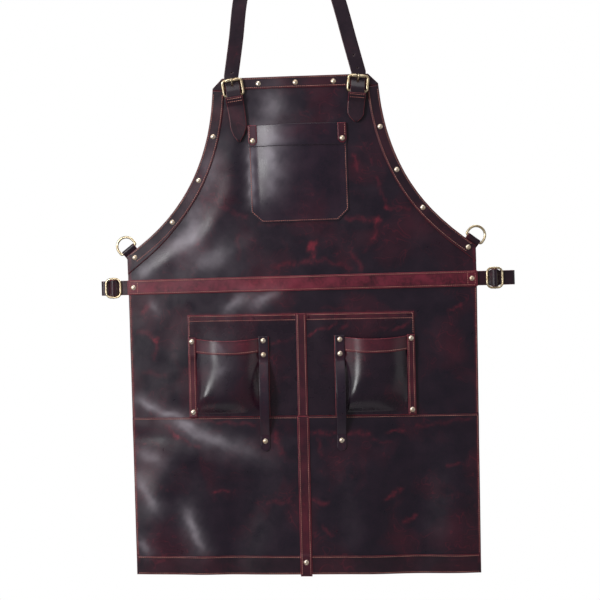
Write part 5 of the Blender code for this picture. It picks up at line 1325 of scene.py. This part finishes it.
cap = np.array([(1.0, 0.0), (1.0, -0.6), (0.85, -1.0), (0.02, -1.0)])
cap = np.column_stack([cap[:, 0] * RIVET_CAP / 2, cap[:, 1] * 0.001])


def turned(profile, base, way):
    """Rings of a profile of (radius, height) about an axis from base along way."""
    angle = np.arange(RIVET_SIDES) * 2 * pi / RIVET_SIDES
    side = unit(np.cross(way, (0.0, 0.0, 1.0)))
    other = np.cross(way, side)
    radius, height = profile[:, 0], profile[:, 1]
    spoke = np.cos(angle)[:, None] * side + np.sin(angle)[:, None] * other
    return base + radius[:, None, None] * spoke + height[:, None, None] * way


points, quads, caps = [], [], []
for u, h, front, back in rivets:
    way = local_frame(u, h)[1][2]
    middle = hang(u, h, (front + back) / 2)
    for profile, sign in ((head, 1), (cap, -1)):
        start = sum(len(p) for p in points)
        rings = turned(profile, middle + sign * (front - back) / 2 * way, way)
        points.append(rings.reshape(-1, 3))
        more, *ends = (f[:, ::sign] for f in tube_faces(len(profile), RIVET_SIDES, start))
        quads.append(more)
        caps += ends
rivet_nodes = [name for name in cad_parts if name.startswith("rivet_")]
make_piece("rivet_heads", np.vstack(points), [np.vstack(quads), *caps], RIVET_FINISH,
           stands_for=rivet_nodes)
print("rivets:", len(rivets), "for", len(rivet_nodes), "solids")

# %% [markdown]
# ## Stitches
# Each seam is a row of short stitches, 3.6 mm apart, and each stitch is a little bead of thread
# that dips into the leather at both ends. All the stitches of a seam are one array, and each is
# only five rings of six points.

# %% A row of stitches
STITCH_PITCH, STITCH_LENGTH, THREAD = 0.0036, 0.0030, 0.0012


def stitch_points(line, height, place):
    """Rings of points round the stitches along a line: five to a stitch, and six points each."""
    line = np.asarray(line, float)
    run = np.concatenate([[0], np.cumsum(np.hypot(*np.diff(line, axis=0).T))])
    count = max(1, int(run[-1] / STITCH_PITCH))
    middle = (np.arange(count) + 0.5) * run[-1] / count
    s = middle[:, None] + np.linspace(-0.5, 0.5, 5) * STITCH_LENGTH
    u, h = np.interp(s, run, line[:, 0]), np.interp(s, run, line[:, 1])
    size = np.array([0.35, 0.85, 1.0, 0.85, 0.35]) * THREAD / 2
    sink = THREAD * np.array([-0.30, 0.12, 0.22, 0.12, -0.30])
    base = number_or_field(height, u, h)
    centre = place(u, h, base + sink)
    outward = unit(place(u, h, base + 0.001) - place(u, h, base))
    side = unit(np.cross(unit(centre[:, -1:] - centre[:, :1]), outward))
    angle = np.arange(6) * pi / 3
    return centre[:, :, None] + size[None, :, None, None] * (
        np.cos(angle)[:, None] * side[:, :, None] + np.sin(angle)[:, None] * outward[:, :, None])


def sew(name, rows, place=hang):
    """One mesh for the rows of a seam: rows are (line, height) pairs."""
    rings = np.concatenate([stitch_points(line, height, place) for line, height in rows])
    count = len(rings)
    index = np.arange(count * 30).reshape(count, 5, 6)
    turn = np.roll(index, -1, axis=2)
    quads = np.stack([index[:, :-1], turn[:, :-1], turn[:, 1:], index[:, 1:]], axis=-1)
    faces = [quads.reshape(-1, 4), index[:, 0, ::-1], index[:, -1]]
    make_piece(name, rings.reshape(-1, 3), faces, THREAD_FINISH)
    return count


def level_line(u0, u1, h, count=40):
    """Points across the flat drawing, from u0 to u1."""
    return np.column_stack([np.linspace(u0, u1, count), np.full(count, h)])


def upright_line(u, h0, h1, count=20):
    """Points up the flat drawing, from h0 to h1."""
    return np.column_stack([np.full(count, u), np.linspace(h0, h1, count)])


# %% Sew the apron
MARGIN, END, SIDE_END = 0.0024, 0.002, 0.003
BOX_WIDTH, BOX_HALF_HEIGHT, TOOL_ROW_DROP, STRIP_MARGIN = 0.013, 0.009, 0.0105, 0.0026
over_lap = plus(lap, BODY_LEATHER)
made = {}
top_row = bib_half_width(np.array(APRON_HEIGHT - MARGIN)) - MARGIN
low_row = HALF_BIB - FACING_WIDTH
rows = [(level_line(-top_row, top_row, APRON_HEIGHT - MARGIN), TRIM_TOP),
        (level_line(-low_row, low_row, FACING_LOW + MARGIN), TRIM_TOP)]
share = np.linspace(FACING_START + 0.02, 0.985, 60)
for sign in (-1, 1):
    for inset in (MARGIN, FACING_WIDTH - MARGIN):
        u, h = armhole_inset(share, inset)
        rows.append((np.column_stack([sign * u, h]), TRIM_TOP))
made["facings"] = sew("facing_thread", rows)
band_end, band_row = HALF_WAIST - SIDE_END, WAISTBAND_WIDTH / 2 - MARGIN
rows = [(level_line(-band_end, band_end, WAIST + way * band_row), TRIM_TOP) for way in (-1, 1)]
rows += [(upright_line(sign * u, WAIST - BOX_HALF_HEIGHT, WAIST + BOX_HALF_HEIGHT, 6), TRIM_TOP)
         for sign in (-1, 1) for u in (band_end, band_end - BOX_WIDTH)]
made["waistband"] = sew("waist_thread", rows)
edge = float(skirt_half_width(np.array(SEAM))) - SIDE_END
made["seam"] = sew("skirt_seam_thread", [(level_line(-edge, edge, SEAM - MARGIN, 60), over_lap)])
edge = HALF_HEM - SIDE_END
made["hem"] = sew("hem_thread", [(level_line(-edge, edge, h, 60), TRIM_TOP)
                                 for h in (MARGIN, HEM_BAND_WIDTH - MARGIN)])
rows = []
for h0, h1, height in ((HEM_BAND_WIDTH + END, SEAM - SIDE_END, over_lap),
                       (SEAM + END, WAIST - WAISTBAND_WIDTH / 2 - END, BODY_LEATHER)):
    for sign in (-1, 1):
        line = upright_line(0.0, h0, h1, 40)
        line[:, 0] = sign * (skirt_half_width(line[:, 1]) - MARGIN)
        rows.append((line, height))
made["sides"] = sew("side_edge_thread", rows)
rows = []
for way in (-1, 1):
    u = SKIRT_SHIFT + way * (UPPER_STRIP_WIDTH / 2 - STRIP_MARGIN)
    rows.append((upright_line(u, BOTTOM_LINE + END, TOOL_TOP - END, 30),
                 over_tool(POCKET_BACK + TRIM_LEATHER)))
    u = SKIRT_SHIFT + way * (LOWER_STRIP_WIDTH / 2 - 0.0028)
    rows.append((upright_line(u, 0.0, SEAM - END, 60), plus(strip_height, TRIM_LEATHER)))
made["centre"] = sew("middle_thread", rows)
half, strip_half = TOOL_WIDTH / 2, UPPER_STRIP_WIDTH / 2 + 0.001
top = over_tool(TRIM_BACK + TRIM_LEATHER)
rows = [(level_line(SKIRT_SHIFT + u0, SKIRT_SHIFT + u1, h), top)
        for h in (TOOL_TOP - MARGIN, TOOL_TOP - TOOL_ROW_DROP)
        for u0, u1 in ((-half + END, -strip_half), (strip_half, half - END))]
rows += [(upright_line(SKIRT_SHIFT + way * (half - MARGIN), POCKET_TOP + END, TOOL_TOP - END), top)
         for way in (-1, 1)]
made["tool panel"] = sew("tool_thread", rows)
for side, sign in SIDES:
    stand, top_at, low_u, high_u = side_pocket_facts[side]
    a = np.linspace(0.02, 0.98, 50)
    u = low_u + a * (high_u - low_u)
    keep = np.abs(u - (SKIRT_SHIFT + sign * LOOP_SPREAD / 2)) > LOOP_WIDTH / 2 + 0.001
    cuff_row = np.column_stack([u[keep], (top_at(a) - SIDE_POCKET_CUFF + 0.0028)[keep]])
    edge = SKIRT_SHIFT + sign * TOOL_WIDTH / 2
    rows = [(cuff_row, plus(stand, TRIM_LEATHER + CUFF_LIFT + CUFF_LEATHER))]
    rows += [(upright_line(edge - sign * inset, BOTTOM_LINE + END, POCKET_TOP - END, 40),
              plus(tab_back, TRIM_LEATHER))
             for inset in (STRIP_MARGIN, POCKET_TAB_WIDTH - STRIP_MARGIN)]
    made["side pouch " + side] = sew("side_pouch_thread_" + side, rows)
inner, corner_h = CHEST_WIDTH / 2 - MARGIN, CHEST_LOW + CHEST_CORNER + 0.001
half_outline = [(inner, TAB_LOW - END), (inner, corner_h),
                (inner - CHEST_CORNER, CHEST_LOW + MARGIN)]
outline = [(-u, h) for u, h in half_outline] + half_outline[::-1]
rows = [(outline, TRIM_TOP)]
rows += [(upright_line(sign * inner, TAB_LOW + 0.012, CHEST_TOP - END),
          TRIM_TOP + TRIM_LEATHER + TRIM_STEP) for sign in (-1, 1)]
made["chest pouch"] = sew("chest_thread", rows)
for buckle in BUCKLES:
    rows = [([(-0.0128, s), (0.0128, s)], TRIM_LEATHER / 2) for s in (0.0028, 0.0078)]
    made["buckle " + buckle.side] = sew("buckle_thread_" + buckle.side, rows,
                                        tab_places[buckle.side])
print("stitches:", made, "in all", sum(made.values()))

# %% [markdown]
# ## What is cloth
# The panels are sheets: each was cut flat and then hung. Here the bib's flat area is worked out
# from its outline.


def flat_area(half_width_at, h0, h1):
    """The integral of the width over the height, by the trapezoid rule."""
    h = np.linspace(h0, h1, 400)
    return float(np.trapz(2 * half_width_at(h), h))


flat_area(bib_half_width, JOINT, APRON_HEIGHT)

# %% [markdown]
# ## Stage
# The apron was photographed against white. A tall softbox at the left makes the broad, soft
# sheen that waxed leather mirrors. Four dimmer walls fill in the shadows and light the back.

# %% Camera
PIXEL = 0.001727                     # metres per pixel at the apron, at 600 pixels across
CAMERA_AWAY, SENSOR, CENTRE_PIXEL, CAMERA_HEIGHT = 3.0, 36.0, 285.5, -0.7785
camera_data = bpy.data.cameras.new("camera")
camera_data.sensor_width = SENSOR
camera_data.lens = SENSOR * CAMERA_AWAY / (600 * PIXEL)
camera_data.clip_end = 50.0
camera = add_object("camera", camera_data)
camera.location = ((300 - CENTRE_PIXEL) * PIXEL, -CAMERA_AWAY, CAMERA_HEIGHT)
camera.rotation_euler = (radians(90), 0, 0)
bpy.context.scene.camera = camera

# %% Lights and floor


def soft_light(name, place, aim, width, height, power):
    """A white area light at a place, turned to face the point that it aims at."""
    data = bpy.data.lights.new(name, "AREA")
    data.shape = "RECTANGLE"
    data.size, data.size_y = width, height
    data.energy = power
    lamp = add_object(name, data)
    lamp.location = place
    lamp.rotation_euler = (Vector(aim) - Vector(place)).to_track_quat("-Z", "Y").to_euler()


soft_light("key softbox", (-1.55, -2.05, -0.25), (0.0, 0.0, -0.75), 0.6, 1.3, 37)
soft_light("left wall", (-2.4, -0.9, -0.6), (0.0, 0.0, -0.8), 1.4, 1.6, 7)
soft_light("right wall", (2.4, -0.9, -0.7), (0.0, 0.0, -0.8), 1.4, 1.6, 4)
soft_light("top wall", (0.0, -0.9, 1.3), (0.0, 0.0, -0.6), 1.6, 1.0, 14)
soft_light("back wall", (0.6, 2.4, 0.3), (0.0, 0.0, -0.8), 1.6, 1.6, 40)
world = bpy.data.worlds.new("studio")
bpy.context.scene.world = world
world.use_nodes = True
tree = world.node_tree
seen = add_node(tree, "ShaderNodeLightPath").outputs["Is Camera Ray"]
strength = add_node(tree, "ShaderNodeMapRange", Value=seen, To_Min=0.20, To_Max=1.0)
background = tree.nodes["Background"]
background.inputs["Color"].default_value = (1, 1, 1, 1)
tree.links.new(strength.outputs["Result"], background.inputs["Strength"])
FLOOR_RADIUS, FLOOR_DROP, FLOOR_SIDES = 0.48, -1.75, 96
angle = np.linspace(0, 2 * pi, FLOOR_SIDES + 1)[:-1]
rim = np.column_stack([FLOOR_RADIUS * np.cos(angle), FLOOR_RADIUS * np.sin(angle),
                       np.full(FLOOR_SIDES, FLOOR_DROP)])
floor_mesh = bpy.data.meshes.new("floor")
floor_mesh.from_pydata(rim.tolist(), [], [tuple(range(FLOOR_SIDES))])
floor = add_object("floor", floor_mesh)
floor_finish, _, floor_shader = new_finish("pale floor", Roughness=0.8)
floor_shader.inputs["Base Color"].default_value = linear("#dcdcdc")
floor_mesh.materials.append(floor_finish)
floor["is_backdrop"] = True
bpy.context.scene.view_settings.view_transform = "Standard"

# %% Measure and finish
low_corner, high_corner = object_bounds()
boxes = {"cad": [list(map(float, c)) for c in cad_box],
         "visual": [[float(v) for v in low_corner], [float(v) for v in high_corner]]}
grown = np.array(boxes["visual"]) - np.array(boxes["cad"])
print("visual box less cad box, mm:", (1000 * grown).round(1).tolist())
